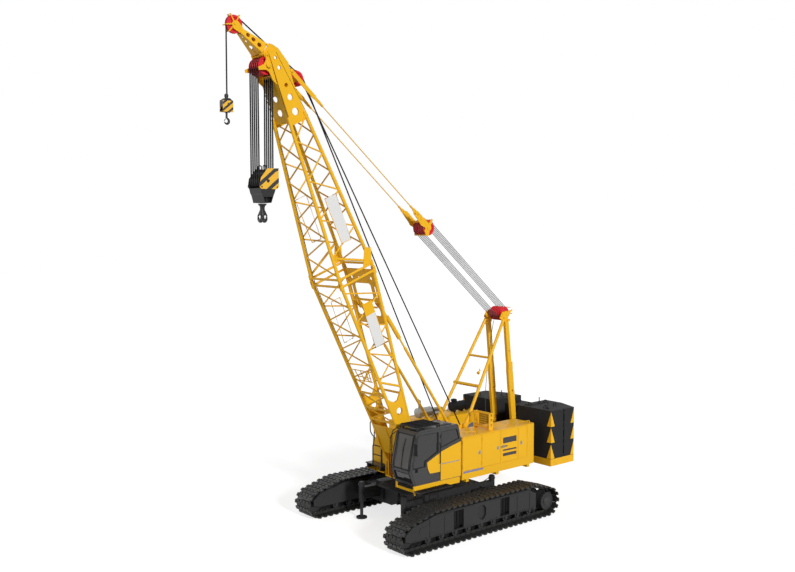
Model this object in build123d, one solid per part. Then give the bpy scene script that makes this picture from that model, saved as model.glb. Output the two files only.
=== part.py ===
from build123d import *
import os
from math import atan2, ceil, cos, hypot, pi, radians, sin

# Crawler crane with a lattice boom. Millimetres, +X forward, +Y to the cab's side, +Z up.
# Everything is drawn about the slewing axis and moved at the end, so that the origin lies
# on the ground under the middle of the overall box.

# ---- driving dimensions -------------------------------------------------------------
SHOE_W = 800                        # track shoe width
GAUGE = 4340                        # between track centres
SHOES = 48                          # shoes in one track
TOP_Z = 1105                        # top of the upper run, over the grousers
GROUSER = 32                        # height of a grouser bar over the shoe
SHOE_T = 30                         # shoe plate
LINK_T = 85                         # height of the chain under the shoes
LINK_W = 300                        # width of the chain
IDLER = (2815, 435)                 # centre x, and height = outer radius of the track round it
SPROCKET = (-2795, 455)
CARRIER_X = (2000, -75, -2150)      # carrier rollers under the upper run
FRAME_Y = (1940, 2400)              # side frame, inner and outer face
BEAM_X = 952                        # carbody cross beams, fore and aft of the slewing axis
BEAM_W = 390

RING_R = 820                        # slewing ring
RING_Z = (1090, 1240)
DECK_Z = 1640                       # top of the upper frame's deck
WEB_Y = (520, 552)                  # girder web, inner and outer face
SIDE_Y = 1700                       # housings, outer face
HOUSE_IN = 800                      # housings, inner face
HOUSE_Z = (1470, 2750)
HOUSE_X = (-3060, 150)

CAB_Y = (825, 1660)
CAB_FLOOR = 1645                    # inside of the cab's floor

SLAB_Y = 2010                       # counterweights, outer face
SLAB_GROOVE_X = (-4121, -4058)      # upright groove with the slings' lugs
TAIL_X = -4880                      # rear face of the counterweights
TRAY_Z = (1335, 1560)
SLABS = 3
SLAB_T = 520

FOOT = (975, 1745)                  # boom foot pin, x and z
BOOM_DEG = 68.5                     # boom angle as the crane stands
FOOT_Y = 590                        # boom foot lugs, middle
HEAD_S = 12430                      # foot pin to main sheave shaft along the boom
HEAD_N = -405                       # main sheave shaft below the boom's centre line
TIP_S, TIP_N = 13647, -794          # tip sheave shaft
SHEAVE_R = 235

GANTRY = (-3160, 6125)              # sheave shaft on top of the gantry
GANTRY_FRONT = (-1020, 2750)        # front leg's foot pin
GANTRY_REAR = (-3410, 2500)         # rear leg's foot pin
BRIDLE_D = 4370                     # gantry shaft to bridle sheave shaft
HOOK_DROP = 2990                    # main sheave shaft to hook block shaft
AUX_DROP = 1900                     # tip sheave shaft to top of the auxiliary hook

# ---- helpers ------------------------------------------------------------------------


def block(x, y, z):
    """Box from three (low, high) ranges."""
    size = [high - low for low, high in (x, y, z)]
    centre = [(high + low) / 2 for low, high in (x, y, z)]
    return Pos(*centre) * Box(*size)


def rod(start, end, radius):
    """Round bar between two points."""
    start, end = Vector(*start), Vector(*end)
    return Solid.make_cylinder(radius, (end - start).length, Plane(origin=start, z_dir=end - start))


def disc(x, z, y, radius):
    """Round bar along Y over the range y."""
    return rod((x, y[0], z), (x, y[1], z), radius)


def side_plate(points, y):
    """Plate with an outline of (x, z) points, over the range y."""
    face = make_face(Polyline(*[(px, y[0], pz) for px, pz in points], close=True))
    return extrude(face, amount=y[1] - y[0], dir=(0, 1, 0))


def plan_plate(points, z):
    """Plate with an outline of (x, y) points, over the range z."""
    face = make_face(Polyline(*[(px, py, z[0]) for px, py in points], close=True))
    return extrude(face, amount=z[1] - z[0], dir=(0, 0, 1))


def other_side(shape):
    """The same piece on the other side of the machine."""
    return mirror(shape, about=Plane.XZ)


def flip(y):
    return (-y[1], -y[0])


def boom_point(s, n):
    """Point (x, z) at s along the boom from its foot and n above its centre line."""
    a = radians(BOOM_DEG)
    return FOOT[0] + s * cos(a) - n * sin(a), FOOT[1] + s * sin(a) + n * cos(a)


def boom_xyz(s, n, y):
    x, z = boom_point(s, n)
    return x, y, z


def lug_plate(pin, root, y, radius):
    """Flat lug round a pin at (x, z), with straight sides to its root."""
    a = atan2(root[1] - pin[1], root[0] - pin[0]) + pi / 2
    dx, dz = radius * cos(a), radius * sin(a)
    sides = [(pin[0] + dx, pin[1] + dz), (pin[0] - dx, pin[1] - dz),
             (root[0] - dx, root[1] - dz), (root[0] + dx, root[1] + dz)]
    return join(side_plate(sides, y), disc(pin[0], pin[1], y, radius))


def join(first, *others):
    """One solid from pieces that overlap."""
    solid = first.fuse(*others) if others else first
    return solid


def across(a, b, row):
    """Plane in the lower or upper chords' plane: u runs along the boom from station a, v across it."""
    _, low, high, _ = a
    _, low2, high2, _ = b
    start = Vector(*boom_xyz(a[0], (low, high)[row], 0))
    end = Vector(*boom_xyz(b[0], (low2, high2)[row], 0))
    along = (end - start).normalized()
    return Plane(origin=start, x_dir=along, z_dir=along.cross(Vector(0, 1, 0)))


def sheet(plane, outline, cuts, thick):
    """Plate on a plane, with round cuts (u, v, radius) and cuts of several corners."""
    face = make_face(Polyline(*outline, close=True))
    for cut in cuts:
        if len(cut) == 3 and not isinstance(cut[0], tuple):
            face -= Pos(cut[0], cut[1]) * Circle(cut[2])
        else:
            face -= make_face(Polyline(*cut, close=True))
    return extrude(plane * face, amount=thick / 2, both=True)


def rounded(u, v, corner):
    """Corners of a window over the ranges u and v, each cut off by corner."""
    (u0, u1), (v0, v1), c = u, v, corner
    return [(u0 + c, v0), (u1 - c, v0), (u1, v0 + c), (u1, v1 - c),
            (u1 - c, v1), (u0 + c, v1), (u0, v1 - c), (u0, v0 + c)]


def grooved(x, z, y, radius, bore):
    """Rope sheave over the range y: hub, web and a rim with a groove."""
    middle, half = (y[0] + y[1]) / 2, (y[1] - y[0]) / 2
    side = [(bore, 0.8), (radius - 70, 0.35), (radius - 60, 1), (radius, 1)]
    section = [(r, -share * half) for r, share in side] + [(radius - 24, 0)]
    section += [(r, share * half) for r, share in reversed(side)]
    wheel = revolve(make_face(Polyline(*section, close=True)), Axis.Y)
    return Pos(x, middle, z) * wheel


# ---- undercarriage ------------------------------------------------------------------


def hull_path(depth):
    """Path round the track at a depth under the grouser tips: lines and arcs as
    (kind, data, length), counter-clockwise seen from the left with x forward."""
    circles = [(IDLER[0], IDLER[1], IDLER[1] - depth), (CARRIER_X[0], TOP_Z - 200, 200 - depth),
               (CARRIER_X[2], TOP_Z - 200, 200 - depth), (SPROCKET[0], SPROCKET[1], SPROCKET[1] - depth)]
    angles = []
    for (x0, z0, r0), (x1, z1, r1) in zip(circles, circles[1:] + circles[:1]):
        run = hypot(x1 - x0, z1 - z0)
        along = atan2(z1 - z0, x1 - x0)
        # outward normal of the common tangent, to the right of the direction of travel
        angles.append(along - pi / 2 + atan2(r0 - r1, (run ** 2 - (r0 - r1) ** 2) ** 0.5))
    path = []
    for i, (x, z, r) in enumerate(circles):
        start, end = angles[i - 1], angles[i]
        while end < start:
            end += 2 * pi
        path.append(("arc", (x, z, r, start, end), r * (end - start)))
        nx, nz, nr = circles[(i + 1) % len(circles)]
        a = (x + r * cos(end), z + r * sin(end))
        b = (nx + nr * cos(end), nz + nr * sin(end))
        path.append(("line", (a, b, end), hypot(b[0] - a[0], b[1] - a[1])))
    return path


def on_path(path, distance, out=0.0):
    """Point at a distance along the path, moved outward."""
    for kind, data, length in path:
        if distance <= length + 1e-9:
            if kind == "arc":
                x, z, r, start, _ = data
                angle = start + distance / r
                return x + (r + out) * cos(angle), z + (r + out) * sin(angle)
            a, b, angle = data
            t = distance / length
            return (a[0] + (b[0] - a[0]) * t + out * cos(angle), a[1] + (b[1] - a[1]) * t + out * sin(angle))
        distance -= length
    return on_path(path, 0, out)


def smooth_loop(depth, step=110):
    """Closed outline at a depth, with the arcs in short chords."""
    points = []
    for kind, data, length in hull_path(depth):
        if kind == "arc":
            x, z, r, start, end = data
            count = max(1, ceil(length / step))
            points += [(x + r * cos(start + (end - start) * i / count), z + r * sin(start + (end - start) * i / count))
                       for i in range(count + 1)]
    return points


# one shoe along its pitch: (share of the pitch, height over the shoe)
SHOE_OUTLINE = [(0.03, 0), (0.12, 0), (0.15, GROUSER), (0.25, GROUSER), (0.28, 0),
                (0.58, 0), (0.61, GROUSER), (0.71, GROUSER), (0.74, 0), (0.97, 0), (1.0, -14)]


def track(side):
    path = hull_path(GROUSER)
    total = sum(length for _, _, length in path)
    pitch = total / SHOES
    outline = [on_path(path, (i + share) * pitch, out) for i in range(SHOES) for share, out in SHOE_OUTLINE]
    y = (GAUGE / 2 - SHOE_W / 2, GAUGE / 2 + SHOE_W / 2)
    shoes = side_plate(outline, y) - side_plate(smooth_loop(GROUSER + SHOE_T), y)
    chain_y = (GAUGE / 2 - LINK_W / 2, GAUGE / 2 + LINK_W / 2)
    chain = side_plate(smooth_loop(GROUSER + SHOE_T - 5), chain_y)
    chain = chain - side_plate(smooth_loop(GROUSER + SHOE_T + LINK_T), chain_y)
    loop = join(shoes, chain)
    return loop if side > 0 else other_side(loop)


# outline of a side frame's plates: (x, z)
FRAME_OUTLINE = [(-2330, 320), (2700, 320), (2960, 380), (2960, 560), (2700, 740), (2060, 870),
                 (1830, 930), (1500, 945), (-1900, 945), (-2140, 860), (-2330, 780)]
OVAL = (210, 150)                   # middle opening, half the straight height and radius


def track_frame(side):
    frame = side_plate(FRAME_OUTLINE, FRAME_Y)
    # slot round the idler, and room for the rollers under the box
    frame -= block((2380, 3000), (GAUGE / 2 - 170, GAUGE / 2 + 170), (0, 1000))
    frame -= block((-2400, 2380), (GAUGE / 2 - 170, GAUGE / 2 + 170), (200, 430))
    for x in (-BEAM_X, BEAM_X):
        frame -= block((x - BEAM_W / 2, x + BEAM_W / 2), FRAME_Y, (360, 900))
    for x in CARRIER_X:
        frame -= block((x - 100, x + 100), (GAUGE / 2 - 125, GAUGE / 2 + 125), (770, 1000))
    y = (FRAME_Y[1] - 60, FRAME_Y[1] + 1)
    frame -= block((-OVAL[1], OVAL[1]), y, (640 - OVAL[0] + OVAL[1], 640 + OVAL[0] - OVAL[1]))
    for z in (640 - OVAL[0] + OVAL[1], 640 + OVAL[0] - OVAL[1]):
        frame -= disc(0, z, y, OVAL[1])
    return frame if side > 0 else other_side(frame)


def carbody():
    body = block((-1150, 1150), (-1150, 1150), (520, 1070))
    for x in (-BEAM_X, BEAM_X):
        half = BEAM_W / 2 - 5
        body = join(body, block((x - half, x + half), (-2280, 2280), (430, 895)))
        body -= rod((x - 250, 0, -150), (x + 250, 0, -150), 690)
    body = join(body, Pos(0, 0, RING_Z[0] - 30) * Cylinder(RING_R + 60, 60))
    for x in (-1825, 1825):
        for y in (-1000, 1000):
            body = join(body, block((min(x, 1100 * x / 1825), max(x, 1100 * x / 1825)), (y - 90, y + 90), (620, 980)))
            body -= rod((x, y, 500), (x, y, 1200), 92)
    return body


JACKS = [(x, y) for x in (1825, -1825) for y in (1000, -1000)]


def jack_tubes():
    tubes = []
    for x, y in JACKS:
        tube = rod((x, y, 560), (x, y, 1130), 91.5) - rod((x, y, 550), (x, y, 1090), 52)
        tubes.append(tube)
    return Compound(tubes)


def jack_rods():
    rods = []
    for x, y in JACKS:
        shaft = rod((x, y, 70), (x, y, 640), 50)
        pad = rod((x, y, 30), (x, y, 75), 170)
        rods.append(join(shaft, pad))
    return Compound(rods)


def both(shapes):
    return Compound(shapes + [other_side(s) for s in shapes])


CHAIN_IN = GROUSER + SHOE_T + LINK_T + 6    # depth of the wheels' treads, just clear of the chain


def idlers():
    x, z = IDLER
    return both([disc(x, z, (GAUGE / 2 - 60, GAUGE / 2 + 60), z - CHAIN_IN)])


def sprockets():
    x, z = SPROCKET
    root = z - CHAIN_IN
    body = disc(x, z, (GAUGE / 2 - 90, GAUGE / 2 + 90), root - 20)
    return both([body])


def lower_rollers():
    count = 9
    first, last = -2080, 2080
    z = CHAIN_IN + 105
    shapes = []
    for i in range(count):
        x = first + (last - first) * i / (count - 1)
        body = disc(x, z, (GAUGE / 2 - 168, GAUGE / 2 + 168), 105)
        shapes.append(body)
    return both(shapes)


def upper_rollers():
    z = TOP_Z - CHAIN_IN
    shapes = []
    for x in CARRIER_X:
        shapes.append(disc(x, z - 80, (GAUGE / 2 - 110, GAUGE / 2 + 110), 80))
    return both(shapes)


def final_drives():
    x, z = SPROCKET
    cover = disc(x, z, (GAUGE / 2 + 92, 2440), 270)
    case = disc(x, z, (1900, GAUGE / 2 - 92), 240)
    return both([cover, case])


# ---- superstructure -----------------------------------------------------------------

DRUMS = {"main_winch": (-420, 2120), "auxiliary_winch": (-1420, 2120), "luffing_winch": (-2420, 2120)}
DRUM_R, FLANGE_R, DRUM_HALF = 240, 400, 430
MUFFLER_X, MUFFLER_Y = (-1207, -660), 1250

# outline of a girder web: (x, z)
WEB_OUTLINE = [(-3440, 1330), (1150, 1330), (1150, 1745), (975, 1900), (800, 1745), (640, 1640),
               (-3220, 1640), (-3290, 2600), (-3530, 2600), (-3610, 1600), (-3440, 1600)]
# plate on a web that carries a front leg of the gantry and a backstop: (x, z)
GANTRY_SEAT = [(-1350, 1600), (-560, 1600), (-560, 2640), (-680, 2700), (-910, 2830), (-1130, 2830)]
PIN_R = 40                          # pins at the gantry's feet


def upper_frame():
    plan = [(-3450, -800), (900, -800), (1150, -660), (1150, 660), (900, 800), (-3450, 800)]
    frame = plan_plate(plan, (1290, 1335))
    frame = join(frame, Pos(0, 0, (RING_Z[1] + 1300) / 2) * Cylinder(RING_R - 30, 1300 - RING_Z[1]))
    for y in (WEB_Y, flip(WEB_Y)):
        web = side_plate(WEB_OUTLINE, y)
        for x, z in DRUMS.values():
            seat = [(x - 330, 1600), (x + 330, 1600), (x + 120, z + 110), (x - 120, z + 110)]
            web = join(web, side_plate(seat, y))
        web = join(web, side_plate(GANTRY_SEAT, y))
        for x, z in DRUMS.values():
            web -= disc(x, z, (y[0] - 1, y[1] + 1), 62)
        frame = join(frame, web)
    outer = (FOOT_Y + 38, FOOT_Y + 70)
    for y in (outer, flip(outer)):
        lug = side_plate([(640, 1330), (1150, 1330), (1150, 1745), (1100, 1840), (975, 1900), (850, 1840), (800, 1745)], y)
        frame = join(frame, lug)
    frame = join(frame, block((-3300, 640), (-WEB_Y[0], WEB_Y[0]), (DECK_Z - 20, DECK_Z)))
    for y in (1, -1):
        ys = sorted((y * WEB_Y[0], y * outer[1]))
        frame = join(frame, disc(FOOT[0], FOOT[1], (ys[0] - 10, ys[1] + 10), 68))
        for (px, pz), reach in ((GANTRY_FRONT, (WEB_Y[0], 650)), (GANTRY_REAR, (380, WEB_Y[1]))):
            frame = join(frame, disc(px, pz, sorted((y * reach[0], y * reach[1])), PIN_R))
        frame = join(frame, disc(STOP_BASE[0], STOP_BASE[1], sorted((y * 430, y * WEB_Y[1])), 35))
    # outriggers of the frame that carry the housings and the cab
    for x in (-2900, -1500, -200):
        for y in ((790, 1560), (-1560, -790)):
            frame = join(frame, block((x - 60, x + 60), y, (1335, 1470)))
        frame = join(frame, block((x - 60, x + 60), (-800, 800), (1330, 1470)))
    frame = join(frame, block((200, 1960), (790, 1640), (1400, 1480)), block((200, 900), (600, 800), (1335, 1480)))
    for y in ((830, 900), (1590, 1650)):
        frame = join(frame, block((200, 1990), y, (1430, 1598)))
    frame = join(frame, block((120, 1100), (-1640, -790), (1335, 1365)))
    return frame


def winch_drum(name):
    x, z = DRUMS[name]
    drum = disc(x, z, (-DRUM_HALF, DRUM_HALF), DRUM_R)
    for y in (-DRUM_HALF - 25, DRUM_HALF):
        drum = join(drum, disc(x, z, (y, y + 25), FLANGE_R))
    return join(drum, disc(x, z, (-WEB_Y[1] - 40, WEB_Y[1] + 40), 60))


# doors on a housing's side: name, x of hinge edge, x of latch edge
DOOR_Z = (1722, 2722)
DOOR_T = 32
DOORS_LEFT = [("door_left_1", 146, -662), ("door_left_2", -670, -1478), ("door_left_3", -2268, -1486),
              ("door_left_4", -2690, -2276)]
DOORS_RIGHT = [("door_right_1", -670, -1478), ("door_right_2", -2268, -1486), ("door_right_3", -2690, -2276)]
HOUSE_BEVEL_X = -2700               # the side face turns inward behind this


KNUCKLE_R = 8                       # hinge barrels on the doors' outer faces
KNUCKLE_IN, KNUCKLE_OUT = 6, 11     # barrel's axis, inward of the door's edge and outside its face
KNUCKLE_Z = ((1820, 1910), (2530, 2620))


def hinge_axis(hinge, latch):
    """(x, y) of a left door's hinge line."""
    inward = -1 if latch < hinge else 1
    return hinge + inward * KNUCKLE_IN, SIDE_Y + KNUCKLE_OUT


def door(hinge, latch, side):
    inward = -1 if latch < hinge else 1
    outer, inner = SIDE_Y, SIDE_Y - DOOR_T
    plan = [(hinge, outer), (latch, outer), (latch, inner), (hinge + inward * DOOR_T, inner)]
    panel = plan_plate(plan, DOOR_Z)
    x, y = hinge_axis(hinge, latch)
    for z in KNUCKLE_Z:
        leaf_x = sorted((hinge + inward * 2, hinge + inward * 60))
        leaf = block(leaf_x, (outer - 2, outer + 5), z)
        panel = join(panel, leaf, rod((x, y, z[0]), (x, y, z[1]), KNUCKLE_R))
    return panel if side > 0 else other_side(panel)


def housing(side, doors):
    plan = [(HOUSE_X[0], HOUSE_IN), (HOUSE_X[1], HOUSE_IN), (HOUSE_X[1], SIDE_Y), (HOUSE_BEVEL_X, SIDE_Y),
            (HOUSE_X[0] + 30, SIDE_Y - 28), (HOUSE_X[0], SIDE_Y - 60)]
    outer = plan_plate(plan, HOUSE_Z)
    wall = 40
    outer -= block((HOUSE_X[0] + wall, HOUSE_X[1] - wall), (HOUSE_IN + wall, SIDE_Y - wall - 20),
                   (HOUSE_Z[0] + wall, HOUSE_Z[1] - wall))
    for _, hinge, latch in doors:
        low, high = min(hinge, latch), max(hinge, latch)
        outer -= block((low - 6, high + 6), (SIDE_Y - DOOR_T - 6, SIDE_Y + 6), (DOOR_Z[0] - 6, DOOR_Z[1] + 6))
        outer -= block((low + 70, high - 70), (SIDE_Y - 200, SIDE_Y), (DOOR_Z[0] + 60, DOOR_Z[1] - 60))
    return outer if side > 0 else other_side(outer)


def engine():
    return block((-2500, -900), (-1500, -950), (1512, 2400))


CAB_WALL = 45
# outlines on the cab's sides, all (x, z)
CAB_OUTER = [(165, 1600), (1995, 1600), (2010, 1660), (2140, 1990), (2105, 2250), (1925, 3060), (1850, 3135),
             (1750, 3160), (330, 3170), (275, 3130), (165, 2680)]
CAB_INNER = [(210, 1645), (1960, 1645), (1968, 1670), (2093, 1995), (2060, 2242), (1884, 3036), (1832, 3090),
             (1744, 3115), (350, 3125), (315, 3098), (210, 2672)]
CAB_DOORWAY = [(1006, 1640), (1962, 1640), (1975, 1670), (2100, 1995), (2066, 2240), (1890, 3030), (1845, 3085),
               (1745, 3112), (1006, 3118)]
CAB_DOOR = [(1010, 1644), (1959, 1644), (1971, 1671), (2096, 1995), (2062, 2239), (1886, 3028), (1842, 3081),
            (1744, 3108), (1010, 3114)]
FRONT_WINDOW = [(1080, 2470), (1575, 2250), (1590, 2100), (2052, 2100), (2030, 2250), (1866, 2990), (1836, 3040),
                (1080, 3040)]
REAR_WINDOW = [(960, 2560), (960, 3030), (370, 3040), (320, 3000), (240, 2740)]
REAR_PANEL = [(165, 2656), (586, 2562), (958, 2462), (992, 2448), (992, 1606), (165, 1600)]
DOOR_PANEL = [(1012, 2440), (1529, 2222), (1502, 2043), (1425, 1875), (1012, 1866)]
# windows in the front and rear walls: x range of the cut, inset from the sides, z range
WALL_WINDOWS = [((1850, 2200), 60, (2060, 3040)), ((1975, 2200), 80, (1700, 1960)), ((150, 330), 90, (2720, 3040))]
# their panes, as thin outlines seen from the side
WALL_PANES = [[(2106, 2060), (2080, 2250), (1905, 3040), (1899, 3040), (2074, 2250), (2100, 2060)],
              [(2000, 1700), (2102, 1960), (2096, 1960), (1994, 1700)],
              [(197, 2720), (275, 3040), (281, 3040), (203, 2720)]]
ROOF_GUARD = ((950, 1850), (860, 1600), (3236, 3250))
RACK = ((-1302, -1132), (864, 1545), (2752, 3270))
RACK_HOLES = (2900, 3060, 3200)


def cab_shell():
    shell = side_plate(CAB_OUTER, CAB_Y)
    shell -= side_plate(CAB_INNER, (CAB_Y[0] + CAB_WALL, CAB_Y[1] - CAB_WALL))
    left = (CAB_Y[1] - CAB_WALL - 1, CAB_Y[1] + 1)
    right = (CAB_Y[0] - 1, CAB_Y[0] + CAB_WALL + 1)
    shell -= side_plate(CAB_DOORWAY, left)
    shell -= side_plate(REAR_WINDOW, left)
    shell -= side_plate(REAR_WINDOW, right)
    shell -= side_plate(FRONT_WINDOW, right)
    for x, inset, z in WALL_WINDOWS:
        shell -= block(x, (CAB_Y[0] + inset, CAB_Y[1] - inset), z)
    # guard over the roof, on four stays
    x, y, z = ROOF_GUARD
    shell = join(shell, block(x, y, z))
    for px in (x[0] + 60, x[1] - 60):
        for py in (y[0] + 60, y[1] - 60):
            shell = join(shell, block((px - 20, px + 20), (py - 20, py + 20), (3140, z[0] + 5)))
    return shell


def cab_door():
    panel = side_plate(CAB_DOOR, (CAB_Y[1] - CAB_WALL + 4, CAB_Y[1] + 8))
    return panel - side_plate(FRONT_WINDOW, (CAB_Y[0], CAB_Y[1] + 20))


def cab_side_panels():
    """Painted panels on the cab's sides and on its door."""
    rear = side_plate(REAR_PANEL, (CAB_Y[1], CAB_Y[1] + 8))
    far = side_plate(REAR_PANEL, (CAB_Y[0] - 8, CAB_Y[0]))
    return Compound([rear, far, side_plate(DOOR_PANEL, (CAB_Y[1] + 8, CAB_Y[1] + 15))])


def cab_glass():
    panes = []
    left = (CAB_Y[1] - 28, CAB_Y[1] - 22)
    right = (CAB_Y[0] + 16, CAB_Y[0] + 22)
    for outline, y in ((FRONT_WINDOW, left), (FRONT_WINDOW, right), (REAR_WINDOW, left), (REAR_WINDOW, right)):
        panes.append(side_plate(outline, y))
    for outline, (_, inset, _) in zip(WALL_PANES, WALL_WINDOWS):
        panes.append(side_plate(outline, (CAB_Y[0] + inset, CAB_Y[1] - inset)))
    return Compound(panes)


def cab_seat():
    floor = CAB_FLOOR
    seat = join(block((700, 1200), (1000, 1480), (floor + 350, floor + 480)),
                block((600, 740), (1000, 1480), (floor + 400, floor + 1100)),
                block((820, 1080), (1120, 1360), (floor, floor + 360)))
    return join(seat, block((760, 1350), (890, 1010), (floor, floor + 560)))


def slab_plan(x_front, inset=0):
    outer = SLAB_Y - inset
    rear_y = 1250
    return [(x_front, 560), (x_front, outer), (-4600 + inset, outer),
            (TAIL_X + inset, rear_y), (TAIL_X + inset, 560)]


def counterweight_tray():
    half = [(-3460, 560), (-3460, 2010), (-4600, 2010), (TAIL_X, 1250)]
    plan = half + [(x, -y) for x, y in reversed(half)]
    return plan_plate(plan, TRAY_Z)


def counterweights(side):
    slabs = []
    for i in range(SLABS):
        z = TRAY_Z[1] + i * SLAB_T
        slab = plan_plate(slab_plan(-3470, 4), (z, z + SLAB_T - 4))
        slab -= block(SLAB_GROOVE_X, (SLAB_Y - 50, SLAB_Y + 10), (z - 1, z + SLAB_T))
        for low, high in ((z + 40, z + 110), (z + SLAB_T - 150, z + SLAB_T - 80)):
            slab = join(slab, block((SLAB_GROOVE_X[0] + 16, SLAB_GROOVE_X[1] - 16), (SLAB_Y - 60, SLAB_Y - 8), (low, high)))
        slabs.append(slab)
    result = Compound(slabs)
    return result if side > 0 else other_side(result)


# gantry: half spread of its legs at foot and top, and where their middle lines end
LEG_TOP = (-2945, 5950)
LEG_Y = (610, 395)
LEG_R = 50
REAR_TOP = (-3055, 5880)
REAR_Y = (440, 395)
REAR_T = 100
REAR_LEG = [(2650, 200), (3600, 221), (4215, 223), (4560, 165), (5890, 165)]    # height, width
GANTRY_RUNGS = [(0.3666, 38, 0), (0.636, 52, 90)]           # share from the top, radius, stub on the right
LEG_HOLES = [(-3165, 4921, 30), (-3312, 3596, 40)]          # through the rear legs
TOP_PLATE = [(-2926, 6203), (-3192, 6215), (-3398, 6265), (-3398, 6225), (-3234, 6127), (-3155, 5819),
             (-2949, 5890), (-2806, 6012)]
TOP_PLATE_Y = (345, 370)


def rear_axis(z):
    """(x, z) on the middle line of the rear legs."""
    share = (z - GANTRY_REAR[1]) / (REAR_TOP[1] - GANTRY_REAR[1])
    return GANTRY_REAR[0] + (REAR_TOP[0] - GANTRY_REAR[0]) * share, z


def leg_box(low, high, side):
    """Stretch of a rear leg between two (height, width) pairs."""
    (z0, w0), (z1, w1) = low, high
    x0, x1 = rear_axis(z0)[0], rear_axis(z1)[0]
    share = ((z0 + z1) / 2 - GANTRY_REAR[1]) / (REAR_TOP[1] - GANTRY_REAR[1])
    y = side * (REAR_Y[0] + (REAR_Y[1] - REAR_Y[0]) * share)
    outline = [(x0 - w0 / 2, z0), (x0 + w0 / 2, z0), (x1 + w1 / 2, z1), (x1 - w1 / 2, z1)]
    return side_plate(outline, (y - REAR_T / 2, y + REAR_T / 2))


def gantry():
    parts, bores = [], []
    for side in (1, -1):
        along = Vector(LEG_TOP[0] - GANTRY_FRONT[0], 0, LEG_TOP[1] - GANTRY_FRONT[1]).normalized()
        x, z = GANTRY_FRONT[0] + along.X * 110, GANTRY_FRONT[1] + along.Z * 110
        parts.append(rod((x, LEG_Y[0] * side, z), (LEG_TOP[0], LEG_Y[1] * side, LEG_TOP[1]), LEG_R))
        y = (LEG_Y[0] * side - 30, LEG_Y[0] * side + 30)
        root = (GANTRY_FRONT[0] + along.X * 260, GANTRY_FRONT[1] + along.Z * 260)
        parts.append(lug_plate(GANTRY_FRONT, root, y, 85))
        bores.append(disc(GANTRY_FRONT[0], GANTRY_FRONT[1], (y[0] - 60, y[1] + 60), PIN_R + 2))
        # rear leg: flat box section, wider below its fold
        for low, high in zip(REAR_LEG, REAR_LEG[1:]):
            parts.append(leg_box(low, high, side))
        y = (REAR_Y[0] * side - 30, REAR_Y[0] * side + 30)
        parts.append(lug_plate(GANTRY_REAR, rear_axis(GANTRY_REAR[1] + 260), y, 80))
        bores.append(disc(GANTRY_REAR[0], GANTRY_REAR[1], (y[0] - 60, y[1] + 60), PIN_R + 2))
        parts.append(side_plate(TOP_PLATE, sorted((side * TOP_PLATE_Y[0], side * TOP_PLATE_Y[1]))))
    for share, radius, stub in GANTRY_RUNGS:
        x = LEG_TOP[0] + (GANTRY_FRONT[0] - LEG_TOP[0]) * share
        z = LEG_TOP[1] + (GANTRY_FRONT[1] - LEG_TOP[1]) * share
        y = LEG_Y[1] + (LEG_Y[0] - LEG_Y[1]) * share
        parts.append(rod((x, -y - stub, z), (x, y, z), radius))
    parts.append(disc(*GANTRY, (-TOP_PLATE_Y[1] - 20, TOP_PLATE_Y[1] + 20), 46))
    frame = join(*parts)
    for bore in bores:
        frame -= bore
    for x, z, radius in LEG_HOLES:
        frame -= disc(x, z, (-700, 700), radius)
    return frame


def muffler():
    x, z = MUFFLER_X, HOUSE_Z[1] + 175
    body = rod((x[0], -MUFFLER_Y, z), (x[1], -MUFFLER_Y, z), 150)
    width = (-MUFFLER_Y - 90, -MUFFLER_Y + 90)
    legs = [block((px - 30, px + 30), width, (HOUSE_Z[1], z - 80)) for px in (x[0] + 110, x[1] - 110)]
    return join(body, rod((x[1] - 100, -MUFFLER_Y, z), (x[1] - 100, -MUFFLER_Y, z + 400), 45), *legs)


def air_cleaner():
    x, z = (-2740, -2170), HOUSE_Z[1] + 200
    body = rod((x[0], -MUFFLER_Y, z), (x[1], -MUFFLER_Y, z), 150)
    width = (-MUFFLER_Y - 90, -MUFFLER_Y + 90)
    legs = [block((px - 30, px + 30), width, (HOUSE_Z[1], z - 80)) for px in (x[0] + 110, x[1] - 110)]
    cap = rod((x[1] - 130, -MUFFLER_Y, z + 100), (x[1] - 130, -MUFFLER_Y, z + 240), 85)
    return join(body, cap, *legs)


def front_tank():
    return block((150, 825), (-1690, -890), (1365, 2270))


def walkway():
    parts = [block((830, 1120), (-1690, -890), (1500, 1530)), block((740, 2010), (1665, 1900), (1440, 1470))]
    frame = join(block((840, 1120), (-1640, -1600), (1365, 1505)), block((840, 1120), (-980, -940), (1365, 1505)))
    parts[0] = join(parts[0], frame)
    return Compound(parts)


def roof_rack():
    """Open frame across the left housing's roof: two pierced legs and rails between them."""
    x, y, z = RACK
    parts = []
    for low in (y[0], y[1] - 20):
        leg = block(x, (low, low + 20), z)
        for hole_z in RACK_HOLES:
            leg -= disc((x[0] + x[1]) / 2, hole_z, (low - 1, low + 21), 45)
        parts.append(leg)
    for rail_z in (z[0] + 60, z[1] - 20):
        for rail_x in (x[0] + 20, x[1] - 20):
            parts.append(disc(rail_x, rail_z, (y[0] + 5, y[1] - 5), 18))
    return join(*parts)


# ---- boom ---------------------------------------------------------------------------

# sections of the boom: s, n of the lower chords, n of the upper chords, half width
BUTT_START = (1500, -205, 260, 590)
BOOM_JOINT = (6310, -607, 620, 680)
HEAD_START = (11000, -330, 215, 370)
CHORD_R = 50
LACE_R = 22
FRAME_R = 34                        # end frames and first side diagonals
JOINT_GAP = 60                      # chord ends short of the pins that join the sections
BUTT_NODES = [2610 + 485 * i for i in range(8)]
HEAD_NODES = [6500 + 550 * i for i in range(9)]


def station(a, b, s):
    t = (s - a[0]) / (b[0] - a[0])
    return [p + (q - p) * t for p, q in zip(a, b)]


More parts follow.
